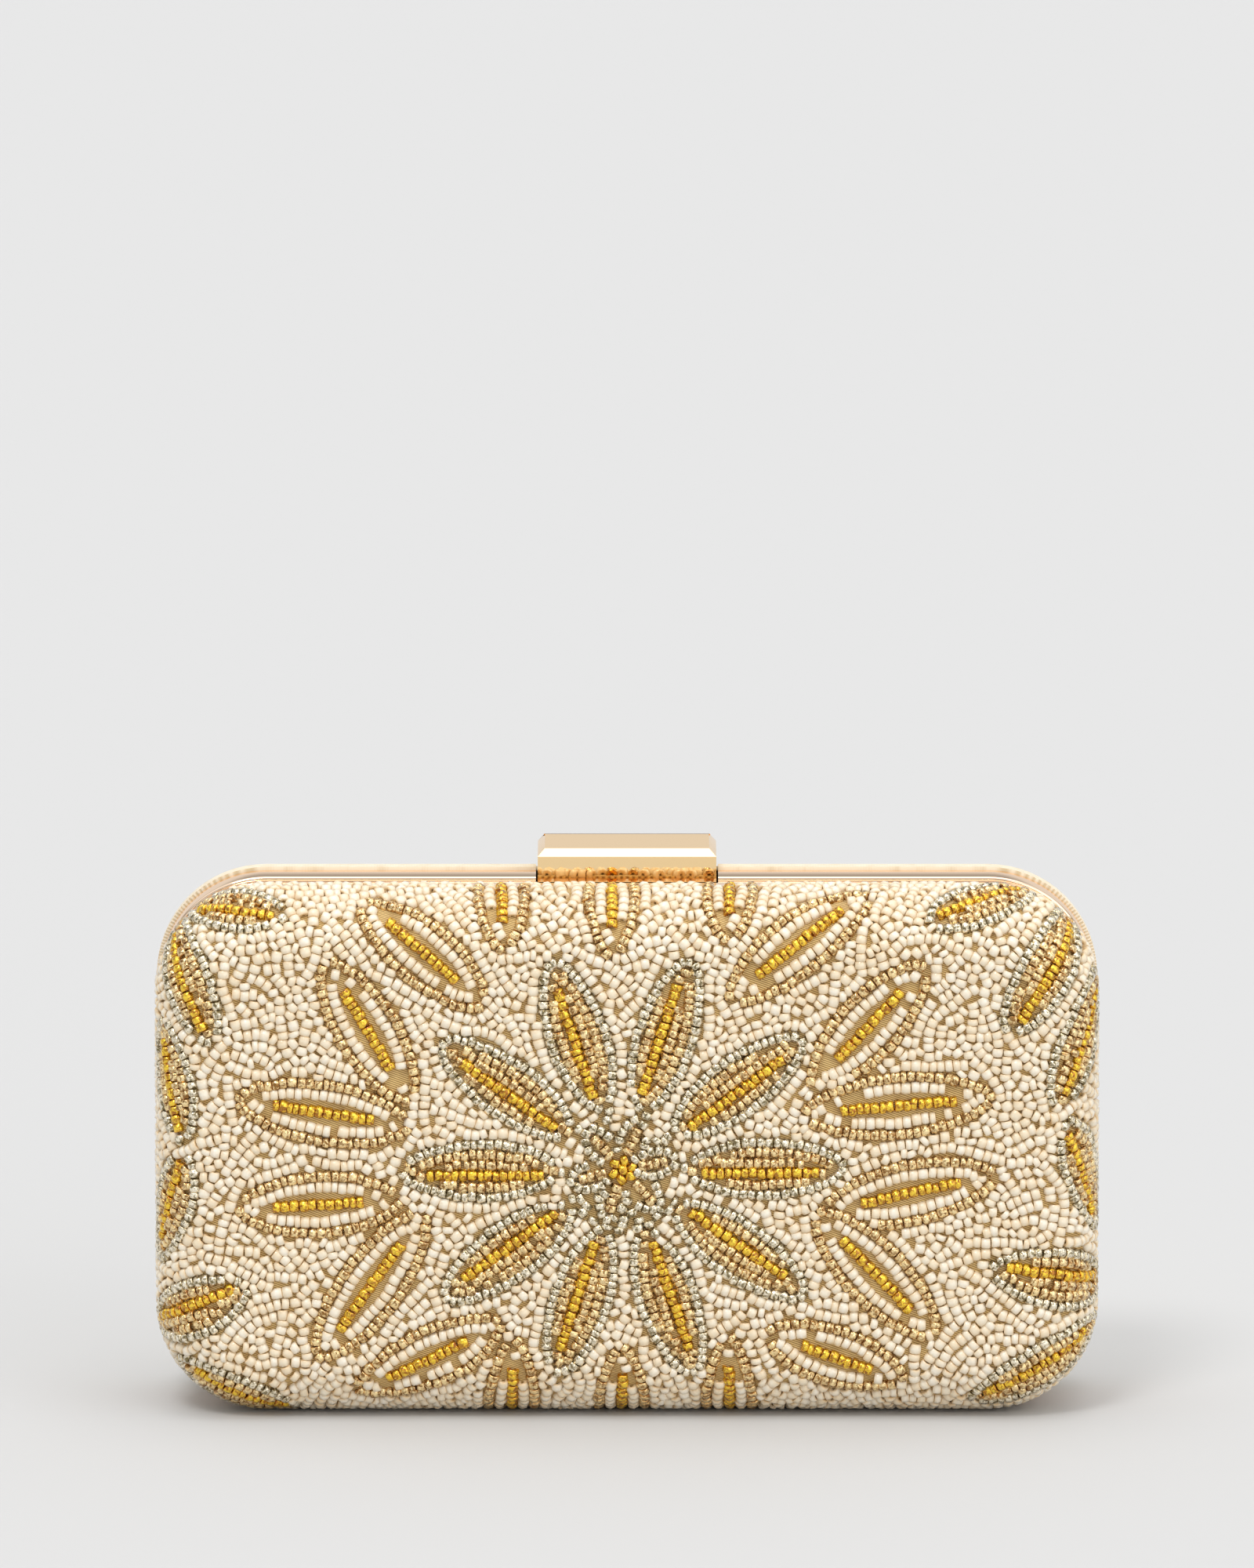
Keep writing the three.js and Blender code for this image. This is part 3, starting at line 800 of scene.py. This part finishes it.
def sew_ground(leaves):
    """Fills the ground with short strings laid side by side, and then the gaps with single
    beads. Each new string starts beside an older one and turns a little away from it."""
    beside = 2.1
    ground = []
    waiting = [(u, v, rng.uniform(0, 2 * math.pi)) for u, v in seed_places(12.0)]
    for leaf in leaves:
        path = leaf.outline()
        for a, b in zip(path[::3], path[3::3]):
            waiting.append((a[0], a[1], math.atan2(b[1] - a[1], b[0] - a[0])))
    while waiting:
        u, v, turn = waiting.pop(rng.randrange(len(waiting)))
        for side in (1, -1):
            across = heading(turn + side * math.pi / 2)
            nu, nv = u + across[0] * beside, v + across[1] * beside
            lean = turn + rng.gauss(0, 0.25)
            sewn = start_string(nu, nv, lean, 0.9, rng.randrange(1, 7), leaves)
            for bead in sewn:
                du, dv = bead.direction
                waiting.append((bead.u, bead.v, math.atan2(dv, du)))
            ground += sewn
    for spacing, slack in ((1.2, 0.86), (0.8, 0.8), (0.7, 0.74)):
        for u, v in seed_places(spacing):
            ground += start_string(u, v, rng.uniform(0, 2 * math.pi), slack, 1, leaves)
    for _ in range(14):
        for bead in ground:
            press_apart(bead)
    for u, v in seed_places(0.6):
        start_string(u, v, rng.uniform(0, 2 * math.pi), 0.78, 1, leaves)


def press_apart(bead):
    """Moves a bead of the ground a little way off the ones that press into it."""
    least_move, most_move = 0.01, 0.25
    push = Vector((0, 0, 0))
    for other in bead.neighbours():
        gap = bead.point - other.point
        distance = gap.length
        if distance > FAR_APART or other is bead:
            continue
        way = gap / max(distance, 0.05)
        room = 0.98 * (bead.reach(way) + other.reach(way))
        if distance < room:
            push += way * (room - distance) * 0.3
    if push.length < least_move:
        return
    push *= min(1, most_move / push.length)
    ahead_u, _ = on_front(bead.u + PROBE, bead.v, BEAD_DEPTH)
    ahead_v, _ = on_front(bead.u, bead.v + PROBE, BEAD_DEPTH)
    # How far the bead moves on the cover for a step of one on the pattern, each way
    east, north = (ahead_u - bead.point) * 10, (ahead_v - bead.point) * 10
    u = bead.u + push.dot(east) / east.length_squared
    v = bead.v + push.dot(north) / north.length_squared
    if not in_pattern(u, v):
        return
    cells[bead.cell].remove(bead)
    bead.u, bead.v = u, v
    bead.settle()
    cells.setdefault(bead.cell, []).append(bead)


def sew_all():
    """The flower first, then the leaves, and the ground in what they leave."""
    sew_heart()
    leaves = sew_flower() + sew_leaves()
    leaves += [petal(base, tip, lean) for base, tip, lean in SIDE_PETALS]
    sew_ground(leaves)


def bead_template(sides=8):
    """One barrel-shaped bead along X with a hole: points and faces for a radius and half length
    of one."""
    bm = bmesh.new()
    half_profile = [(0.9, 0.3), (1.0, 0.74), (0.82, 0.96), (0.0, 1.02)]
    profile = half_profile + [(-x, r) for x, r in half_profile[-2::-1]]
    verts = [bm.verts.new((x, 0, r)) for x, r in profile]
    edges = [bm.edges.new((a, b)) for a, b in zip(verts, verts[1:] + verts[:1])]
    around = {"cent": (0, 0, 0), "axis": (1, 0, 0), "angle": 2 * math.pi}
    bmesh.ops.spin(bm, geom=verts + edges, steps=sides, use_merge=True, **around)
    bmesh.ops.remove_doubles(bm, verts=bm.verts, dist=MERGE)
    bmesh.ops.recalc_face_normals(bm, faces=bm.faces)
    bm.verts.index_update()
    points = np.array([v.co[:] for v in bm.verts])
    faces = np.array([[v.index for v in f.verts] for f in bm.faces])
    bm.free()
    return points, faces


def bead_mesh(name, chosen, materials):
    """Copies of the bead at their places as one mesh, each with one of the materials. The
    attribute painted_gap_shade holds painted shade: 1 deep between the beads and 0 on top of them."""
    points, faces = bead_template()
    count, corners = len(points), len(faces)
    everything = np.empty((len(chosen) * count, 3))
    indices = np.empty((len(chosen) * corners, 4), dtype=np.int64)
    slots = np.empty(len(chosen) * corners, dtype=np.int32)
    painted_gap_shade = np.empty((len(chosen), count))
    # Painted shade towards the ends of each bead, where it meets the next.
    to_end = np.clip((np.abs(points[:, 0]) - 0.7) / 0.3, 0, 1) * 0.75
    for i, bead in enumerate(chosen):
        side = bead.normal.cross(bead.along)
        turn = np.array([bead.along[:], side[:], bead.normal[:]])
        roll, yaw, nod = rng.uniform(0, math.pi), rng.gauss(0, 0.09), rng.gauss(0, 0.07)
        tilt = Matrix.Rotation(yaw, 3, "Z") @ Matrix.Rotation(nod, 3, "Y")
        tilt = np.array(tilt @ Matrix.Rotation(roll, 3, "X"))
        radius = bead.radius * (1.0 if bead.kind == "ivory" else LINED_SWELL)
        shape = points * (bead.half * 0.98, radius, radius)
        centre = bead.point + bead.normal * (BEAD_DEPTH - radius * 1.02)
        tilted = shape @ tilt.T
        everything[i * count : (i + 1) * count] = (tilted @ turn + np.array(centre)) * MM
        # Painted shade on the bead's low side or at its ends, whichever is more.
        painted_gap_shade[i] = np.maximum(to_end, np.clip(0.2 - tilted[:, 2] / bead.radius, 0, 1))
        indices[i * corners : (i + 1) * corners] = faces + i * count
        slots[i * corners : (i + 1) * corners] = rng.randrange(len(materials))
    mesh = bpy.data.meshes.new(name)
    mesh.vertices.add(len(everything))
    mesh.vertices.foreach_set("co", everything.ravel())
    mesh.loops.add(indices.size)
    mesh.loops.foreach_set("vertex_index", indices.ravel())
    mesh.polygons.add(len(indices))
    mesh.polygons.foreach_set("loop_start", np.arange(0, indices.size, 4))
    mesh.update(calc_edges=True)
    mesh.attributes.new("painted_gap_shade", "FLOAT", "POINT").data.foreach_set("value", painted_gap_shade.ravel())
    for material in materials:
        mesh.materials.append(material)
    mesh.polygons.foreach_set("material_index", slots)
    mesh.polygons.foreach_set("use_smooth", np.ones(len(indices), dtype=bool))
    mesh.validate()
    piece = put(name, mesh)
    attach(piece, "front_half")


# ---- Shells, covers and frames ----


def finish_piece(bm, name, material, body, smooth_angle=35):
    """Turns a bmesh in millimetres into a piece that rides on a body."""
    bmesh.ops.remove_doubles(bm, verts=bm.verts, dist=MERGE)
    bmesh.ops.recalc_face_normals(bm, faces=bm.faces)
    bmesh.ops.scale(bm, vec=(MM, MM, MM), verts=bm.verts)
    mesh = mesh_from(bm, name)
    mesh.materials.append(material)
    mesh.polygons.foreach_set("use_smooth", np.ones(len(mesh.polygons), dtype=bool))
    mesh.set_sharp_from_angle(angle=math.radians(smooth_angle))
    piece = put(name, mesh)
    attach(piece, body)
    return piece


def block(size, centre):
    """A box as a bmesh."""
    bm = bmesh.new()
    bmesh.ops.create_cube(bm, size=1)
    bmesh.ops.scale(bm, vec=size, verts=bm.verts)
    bmesh.ops.translate(bm, vec=centre, verts=bm.verts)
    return bm


def middle(face):
    return face.calc_center_median()


def along_y(edge):
    """True for an edge that runs from front to back."""
    a, b = (v.co for v in edge.verts)
    return abs(a.x - b.x) < MERGE and abs(a.z - b.z) < MERGE


def slice_at(bm, axis, places):
    """Cuts a mesh by planes across an axis, so that it can bend or be cut out there."""
    for place in places:
        on_plane, normal = [0, 0, 0], [0, 0, 0]
        on_plane[axis], normal[axis] = place, 1
        geometry = bm.verts[:] + bm.edges[:] + bm.faces[:]
        bmesh.ops.bisect_plane(bm, geom=geometry, dist=MERGE, plane_co=on_plane, plane_no=normal)


def half_skin(side, depth, rim):
    """One surface of a half, open at its rim: a box with its corners and face edge rounded."""
    corner_segments, edge_segments, grid = 16, 12, 5.0
    face_y = EDGE_START + EDGE - depth
    size = (CASE_WIDTH - 2 * depth, face_y - rim, CASE_HEIGHT - 2 * depth)
    bm = block(size, (0, (face_y + rim) / 2, MIDDLE))
    corners = [e for e in bm.edges if along_y(e)]
    bmesh.ops.bevel(bm, geom=corners, offset=CORNER - depth, segments=corner_segments, **BEVEL)
    face = max(bm.faces, key=lambda f: middle(f).y)
    rounded = list(face.edges)
    bmesh.ops.bevel(bm, geom=rounded, offset=EDGE - depth, segments=edge_segments, **BEVEL)
    back = min(bm.faces, key=lambda f: middle(f).y)
    bmesh.ops.delete(bm, geom=[back], context="FACES_ONLY")
    for axis, reach, centre in ((0, CASE_WIDTH / 2, 0.0), (2, CASE_HEIGHT / 2, MIDDLE)):
        steps = int(reach / grid)
        slice_at(bm, axis, [centre + i * grid for i in range(-steps, steps + 1)])
    for vertex in bm.verts:
        if vertex.co.y > face_y - 1e-3:
            vertex.co.y += bulge(vertex.co.x, vertex.co.z - MIDDLE)
    if side < 0:
        bmesh.ops.scale(bm, vec=(1, -1, 1), verts=bm.verts)
        bmesh.ops.reverse_faces(bm, faces=bm.faces)
    return bm


def cut_notch(bm, half_width, rear, above):
    """Cuts a rectangular notch for the clasp bar out of the top wall."""
    slice_at(bm, 0, (half_width, -half_width))
    slice_at(bm, 1, (rear,))
    cut_out = []
    for face in bm.faces:
        c = middle(face)
        if abs(c.x) < half_width and abs(c.y) < abs(rear) and c.z > above:
            cut_out.append(face)
    bmesh.ops.delete(bm, geom=cut_out, context="FACES")


def add_cloth_map(piece, flatten):
    """Gives a mesh a UV map in millimetres; flatten gives a point's place on the flat cloth."""
    mesh = piece.data
    layer = mesh.uv_layers.new(name="cloth")
    flat = [flatten(v.co / MM) for v in mesh.vertices]
    for loop in mesh.loops:
        layer.data[loop.index].uv = flat[loop.vertex_index]


def half_wall(name, side, depth, thickness, rim, material, body, notch=None):
    """A half's cover, tray or lining as a closed wall."""
    bm = half_skin(side, depth, rim)
    if notch:
        cut_notch(bm, *notch)
    bmesh.ops.recalc_face_normals(bm, faces=bm.faces)
    outward = max(bm.faces, key=lambda f: abs(middle(f).y))
    if outward.normal.y * side < 0:
        bmesh.ops.reverse_faces(bm, faces=bm.faces)
    bmesh.ops.solidify(bm, geom=bm.faces[:], thickness=thickness)
    piece = finish_piece(bm, name, material, body, 50)
    add_cloth_map(piece, unrolled)
    return piece


def hoop_section(step, band):
    """A frame hoop's section as (inset, y) points, its outer corner rounded and the others
    broken: band is how far in its outside lies, step how far in the tray's seat."""
    depth = RIM - WALL_GAP
    half_gap, rounding, web, broken, edge_break = WALL_GAP / 2, 0.5, 1.2, 0.15, 0.25
    inner = COVER_PROUD + FRAME_WALL
    section = [(inner, half_gap + broken), (inner - broken, half_gap)]
    for i in range(5):
        turn = math.pi / 2 * i / 4
        inset = band + rounding * (1 - math.sin(turn))
        section.append((inset, half_gap + rounding * (1 - math.cos(turn))))
    section += [
        (band, depth - edge_break),
        (band + edge_break, depth),
        (step, depth),
        (step, EDGE_START),
        (step + STEP_WALL, EDGE_START),
        (step + STEP_WALL, depth - web),
        (inner, depth - web),
    ]
    return section


def swept_hoop(side, section, opening=0.0):
    """A section swept round the case's outline; opening leaves a gap at the top middle."""
    corner_steps = 24
    bm = bmesh.new()
    start = [bm.verts.new((opening, y * side, CASE_HEIGHT - inset)) for inset, y in section]
    edges = [bm.edges.new((a, b)) for a, b in zip(start, start[1:] + start[:1])]
    if opening:
        bm.faces.new(start)

    def draw(current, vec):
        made = bmesh.ops.extrude_edge_only(bm, edges=current)["geom"]
        moved = [g for g in made if isinstance(g, bmesh.types.BMVert)]
        bmesh.ops.translate(bm, vec=vec, verts=moved)
        return [g for g in made if isinstance(g, bmesh.types.BMEdge)]

    def turn_corner(current, centre):
        geom = list({v for e in current for v in e.verts}) + current
        quarter = {"cent": centre, "axis": (0, 1, 0), "angle": math.pi / 2}
        made = bmesh.ops.spin(bm, geom=geom, steps=corner_steps, **quarter)["geom_last"]
        return [g for g in made if isinstance(g, bmesh.types.BMEdge)]

    right, top = CORNER_HUB_X, MIDDLE + CORNER_HUB_Z
    low = MIDDLE - CORNER_HUB_Z
    edges = draw(edges, (right - opening, 0, 0))
    edges = turn_corner(edges, (right, 0, top))
    edges = draw(edges, (0, 0, low - top))
    edges = turn_corner(edges, (right, 0, low))
    edges = draw(edges, (-2 * right, 0, 0))
    edges = turn_corner(edges, (-right, 0, low))
    edges = draw(edges, (0, 0, top - low))
    edges = turn_corner(edges, (-right, 0, top))
    edges = draw(edges, (right - opening, 0, 0))
    if opening:
        bmesh.ops.contextual_create(bm, geom=edges)
    return bm


def cut_boxes(piece, boxes):
    """Cuts boxes, given by their low and high corners in millimetres, out of a piece."""
    for low, high in boxes:
        low, high = Vector(low), Vector(high)
        bm = block((high - low) * MM, (high + low) / 2 * MM)
        cutter = put("cutter", mesh_from(bm, "cutter"))
        cut = piece.modifiers.new("cut", "BOOLEAN")
        cut.operation = "DIFFERENCE"
        cut.solver = "EXACT"
        cut.object = cutter
        with bpy.context.temp_override(object=piece, active_object=piece):
            bpy.ops.object.modifier_apply(modifier=cut.name)
        bpy.data.objects.remove(cutter)


STEP_FRONT = FRONT_COVER + WALL_GAP + SHELL + WALL_GAP
STEP_REAR = REAR_COVER + WALL_GAP + SHELL + WALL_GAP
HINGES = [box_mm("rear_hinge_left"), box_mm("rear_hinge_right")]
# Room left round the clasp bar and at the ends of the hinges
ROOM = 0.4
WELL_HALF = BAR_HIGH.x + ROOM
WELL_REAR = BAR_HIGH.y + ROOM
WELL_FRONT = BAR_LOW.y - ROOM
# Above this height a notch goes through the top wall only.
TOP_WALL = 95


def hinge_cuts():
    """Room for the knuckles in a hoop."""
    half_depth, above = 1.5, 2.75
    cuts = []
    for low, high in HINGES:
        cuts.append(((low.x - ROOM, -half_depth, -1), (high.x + ROOM, half_depth, above)))
    return cuts


def make_frames():
    """The two hoops: the rear one ends beside the clasp bar, the front one has a well for it."""
    hoop = swept_hoop(1, hoop_section(STEP_REAR, COVER_PROUD), WELL_HALF)
    rear = finish_piece(hoop, "rear_frame_hoop", FRAME_GOLD, "rear_half")
    cut_boxes(rear, hinge_cuts())
    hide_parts("rear_frame")
    hoop = swept_hoop(-1, hoop_section(STEP_FRONT, FRONT_BAND_INSET))
    front = finish_piece(hoop, "front_frame_hoop", FRAME_GOLD, "front_half")
    well = ((-WELL_HALF, WELL_FRONT, 100), (WELL_HALF, 1, 115))
    cut_boxes(front, hinge_cuts() + [well])
    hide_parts("front_frame")


def make_bar():
    """The clasp bar: a hollow block with chamfered top edges and finely eased corners."""
    chamfer, rear_round, wall, hollow, skirt, ease_angle = 1.45, 1.1, 1.3, 5.0, 107.2, 25
    low = Vector((BAR_LOW.x, BAR_LOW.y, skirt))
    bm = block(BAR_HIGH - low, (BAR_HIGH + low) / 2)
    upright = []
    for edge in bm.edges:
        a, b = (v.co for v in edge.verts)
        if abs(a.z - b.z) > 1 and a.y > BAR_HIGH.y - 1:
            upright.append(edge)
    bmesh.ops.bevel(bm, geom=upright, offset=rear_round, segments=5, **BEVEL)
    top = max(bm.faces, key=lambda f: middle(f).z)
    bmesh.ops.bevel(bm, geom=list(top.edges), offset=chamfer, segments=1, **BEVEL)
    base = min(bm.faces, key=lambda f: middle(f).z)
    bmesh.ops.inset_region(bm, faces=[base], thickness=wall, use_even_offset=True)
    # The inset leaves a ring of faces round the base; the base is the one nearest its middle.
    level = [f for f in bm.faces if abs(f.normal.z) > 0.9 and middle(f).z < low.z + 0.1]
    base = min(level, key=lambda f: (middle(f) - Vector((0, 6, low.z))).length)
    lifted = bmesh.ops.extrude_discrete_faces(bm, faces=[base])["faces"]
    bmesh.ops.translate(bm, vec=(0, 0, hollow), verts=lifted[0].verts)
    piece = finish_piece(bm, "clasp_bar_shell", BAR_GOLD, "clasp_bar", ease_angle)
    ease = piece.modifiers.new("eased edges", "BEVEL")
    ease.width = 0.6 * MM
    ease.segments = 4
    ease.limit_method = "ANGLE"
    ease.angle_limit = math.radians(ease_angle)
    ease.harden_normals = True
    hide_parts("clasp_bar")


def make_rear_cover():
    """The ribbed cloth, stretched over the rear tray and turned in at its rim."""
    inset, thickness = 0.22, REAR_COVER - 0.3
    notch = (WELL_HALF, WELL_REAR, TOP_WALL)
    piece = half_wall(
        "rear_cloth", 1, inset, thickness, RIM, RIBBED, "rear_half", notch
    )
    piece.data.transform(Matrix.Translation((0, 0, -inset * MM)))
    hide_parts("rear_cover")


def make_front_ground():
    """The satin that the beads are sewn to."""
    thickness = FRONT_COVER - GROUND_DEPTH
    name, body = "front_ground_satin", "front_half"
    piece = half_wall(name, -1, GROUND_DEPTH, thickness, RIM, GROUND_SATIN, body)
    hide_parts("front_cover")


def make_beads():
    """Sews the beads and makes one piece of each kind, the ivory ones in strips of the width."""
    sew_all()
    for kind, materials in {"silver": SILVER, "champagne": CHAMPAGNE, "gold": GOLD}.items():
        bead_mesh(kind + "_beads", [b for b in beads if b.kind == kind], materials)
    ivory = [b for b in beads if b.kind == "ivory"]
    ivory.sort(key=lambda b: b.u)
    strip = 1500
    for number in range(math.ceil(len(ivory) / strip)):
        chosen = ivory[number * strip : (number + 1) * strip]
        bead_mesh(f"ivory_beads_{number + 1}", chosen, IVORY)


def dress_frame_parts():
    """Finishes for the pieces whose shape is right as it is."""
    finishes = {"pale_gold": FRAME_GOLD, "steel": STEEL, "shell_metal": SHELL_METAL}
    slots = {row["node"]: row["material_slot"] for row in frame["record"]["subparts"]}
    for name, node in frame["nodes"].items():
        finish = finishes.get(slots[name])
        if finish and not node.hide_render:
            node.data.materials.clear()
            node.data.materials.append(finish)


def make_linings():
    """The satin linings, each notched at the top: round the latch housing and round the strike."""
    lining_rim = 0.5
    for side, body, step, name, notch in (
        (1, "rear_half", STEP_REAR, "rear_lining", (27.6, 17.1, TOP_WALL)),
        (-1, "front_half", STEP_FRONT, "front_lining", (7.6, -7.8, TOP_WALL)),
    ):
        depth = step + STEP_WALL + WALL_GAP
        piece = half_wall(
            name + "_satin", side, depth, LINING, lining_rim, LINING_SATIN, body, notch
        )
        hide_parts(name)


def make_pocket():
    """A patch pocket of the lining's satin: hemmed, topstitched and open a little at its mouth."""
    low, high = box_mm("rear_pocket")
    half, tall = high.x, high.z - low.z
    corner, hem, gape, groove, grid, thickness = 6.0, 8.0, 1.6, 0.7, 4.0, 0.5
    bm = bmesh.new()
    bmesh.ops.create_grid(bm, x_segments=1, y_segments=1, size=0.5)
    bmesh.ops.rotate(bm, verts=bm.verts, matrix=Matrix.Rotation(math.pi / 2, 3, "X"))
    bmesh.ops.scale(bm, vec=(2 * half, 1, tall), verts=bm.verts)
    bmesh.ops.translate(bm, vec=(0, high.y - 0.15, low.z + tall / 2), verts=bm.verts)
    lower = [v for v in bm.verts if v.co.z < low.z + 1]
    bmesh.ops.bevel(
        bm, geom=lower, offset=corner, segments=8, profile=0.5, affect="VERTICES", material=-1
    )
    slice_at(bm, 0, [i * grid for i in range(-13, 14)])
    slice_at(bm, 2, [low.z + i * grid for i in range(1, 13)])
    stitches = high.z - hem
    slice_at(bm, 2, (stitches - groove, stitches, stitches + groove, high.z - 0.5))
    bmesh.ops.triangulate(bm, faces=[f for f in bm.faces if len(f.verts) > 4])
    for vertex in bm.verts:
        rise = (vertex.co.z - low.z) / tall
        slack = max(0.0, 1 - (vertex.co.x / half) ** 2) * rise**2
        vertex.co.y -= gape * slack
        # The hem is a second layer, and the stitches draw the satin in.
        if vertex.co.z > stitches + 0.3:
            vertex.co.y -= 0.35
        elif vertex.co.z > stitches - 0.3:
            vertex.co.y += 0.1
    bmesh.ops.recalc_face_normals(bm, faces=bm.faces)
    bmesh.ops.solidify(bm, geom=bm.faces[:], thickness=thickness)
    piece = finish_piece(bm, "rear_pocket_satin", LINING_SATIN, "rear_half", 60)
    add_cloth_map(piece, lambda point: (point.x, point.z))
    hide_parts("rear_pocket")


# ---- Floor and lights ----


def add_stage():
    """A wide pale floor."""
    bm = bmesh.new()
    bmesh.ops.create_circle(bm, cap_ends=True, radius=14, segments=96)
    paper, _ = start_material("backdrop_paper", "#CACACA", Roughness=0.95, Specular_IOR_Level=0.1)
    floor = put("backdrop", mesh_from(bm, "paper"))
    floor.data.materials.append(paper)


def add_softbox(name, azimuth, elevation, softness, power):
    """A distant soft light; softness is the angle that it spans."""
    data = bpy.data.lights.new(name, "SUN")
    data.angle = math.radians(softness)
    data.energy = power
    turn, rise = math.radians(azimuth), math.radians(elevation)
    out, up = math.cos(rise), math.sin(rise)
    way = Vector((math.sin(turn) * out, -math.cos(turn) * out, up))
    put(name, data).rotation_euler = way.to_track_quat("Z", "Y").to_euler()


def add_lights():
    """An even grey room that is brighter overhead, and three soft lights."""
    world = bpy.data.worlds.new("studio")
    bpy.context.scene.world = world
    world.use_nodes = True
    background = world.node_tree.nodes["Background"]
    place = add_node(world, "TexCoord").outputs["Generated"]
    height = add_node(world, "SeparateXYZ", [(0, place)]).outputs["Z"]
    # Horizon, the dim gap below the overhead softboxes, and the softboxes themselves
    glow = add_node(world, "ValToRGB", [("Fac", height)])
    elements = glow.color_ramp.elements
    horizon, gap, low_box, high_box = 0.3065, 0.154, 0.365, 1.0
    elements[0].position, elements[0].color = 0.26, [horizon] * 3 + [1]
    elements[1].position, elements[1].color = 0.34, [gap] * 3 + [1]
    for position, value in ((0.5, gap), (0.63, low_box), (0.9, low_box), (0.95, high_box)):
        elements.new(position).color = [value] * 3 + [1]
    background.inputs["Strength"].default_value = 2.6
    wire(world, glow.outputs["Color"], background.inputs["Color"])
    add_softbox("upper_left_softbox", -25, 58, 16, 0.8)
    add_softbox("front_fill", 38, 14, 60, 0.67)
    add_softbox("right_fill", 60, 35, 50, 0.25)


bpy.context.scene.view_settings.view_transform = "Standard"
add_stage()
add_lights()
make_frames()
make_bar()
make_rear_cover()
make_front_ground()
make_linings()
make_pocket()
make_beads()
dress_frame_parts()
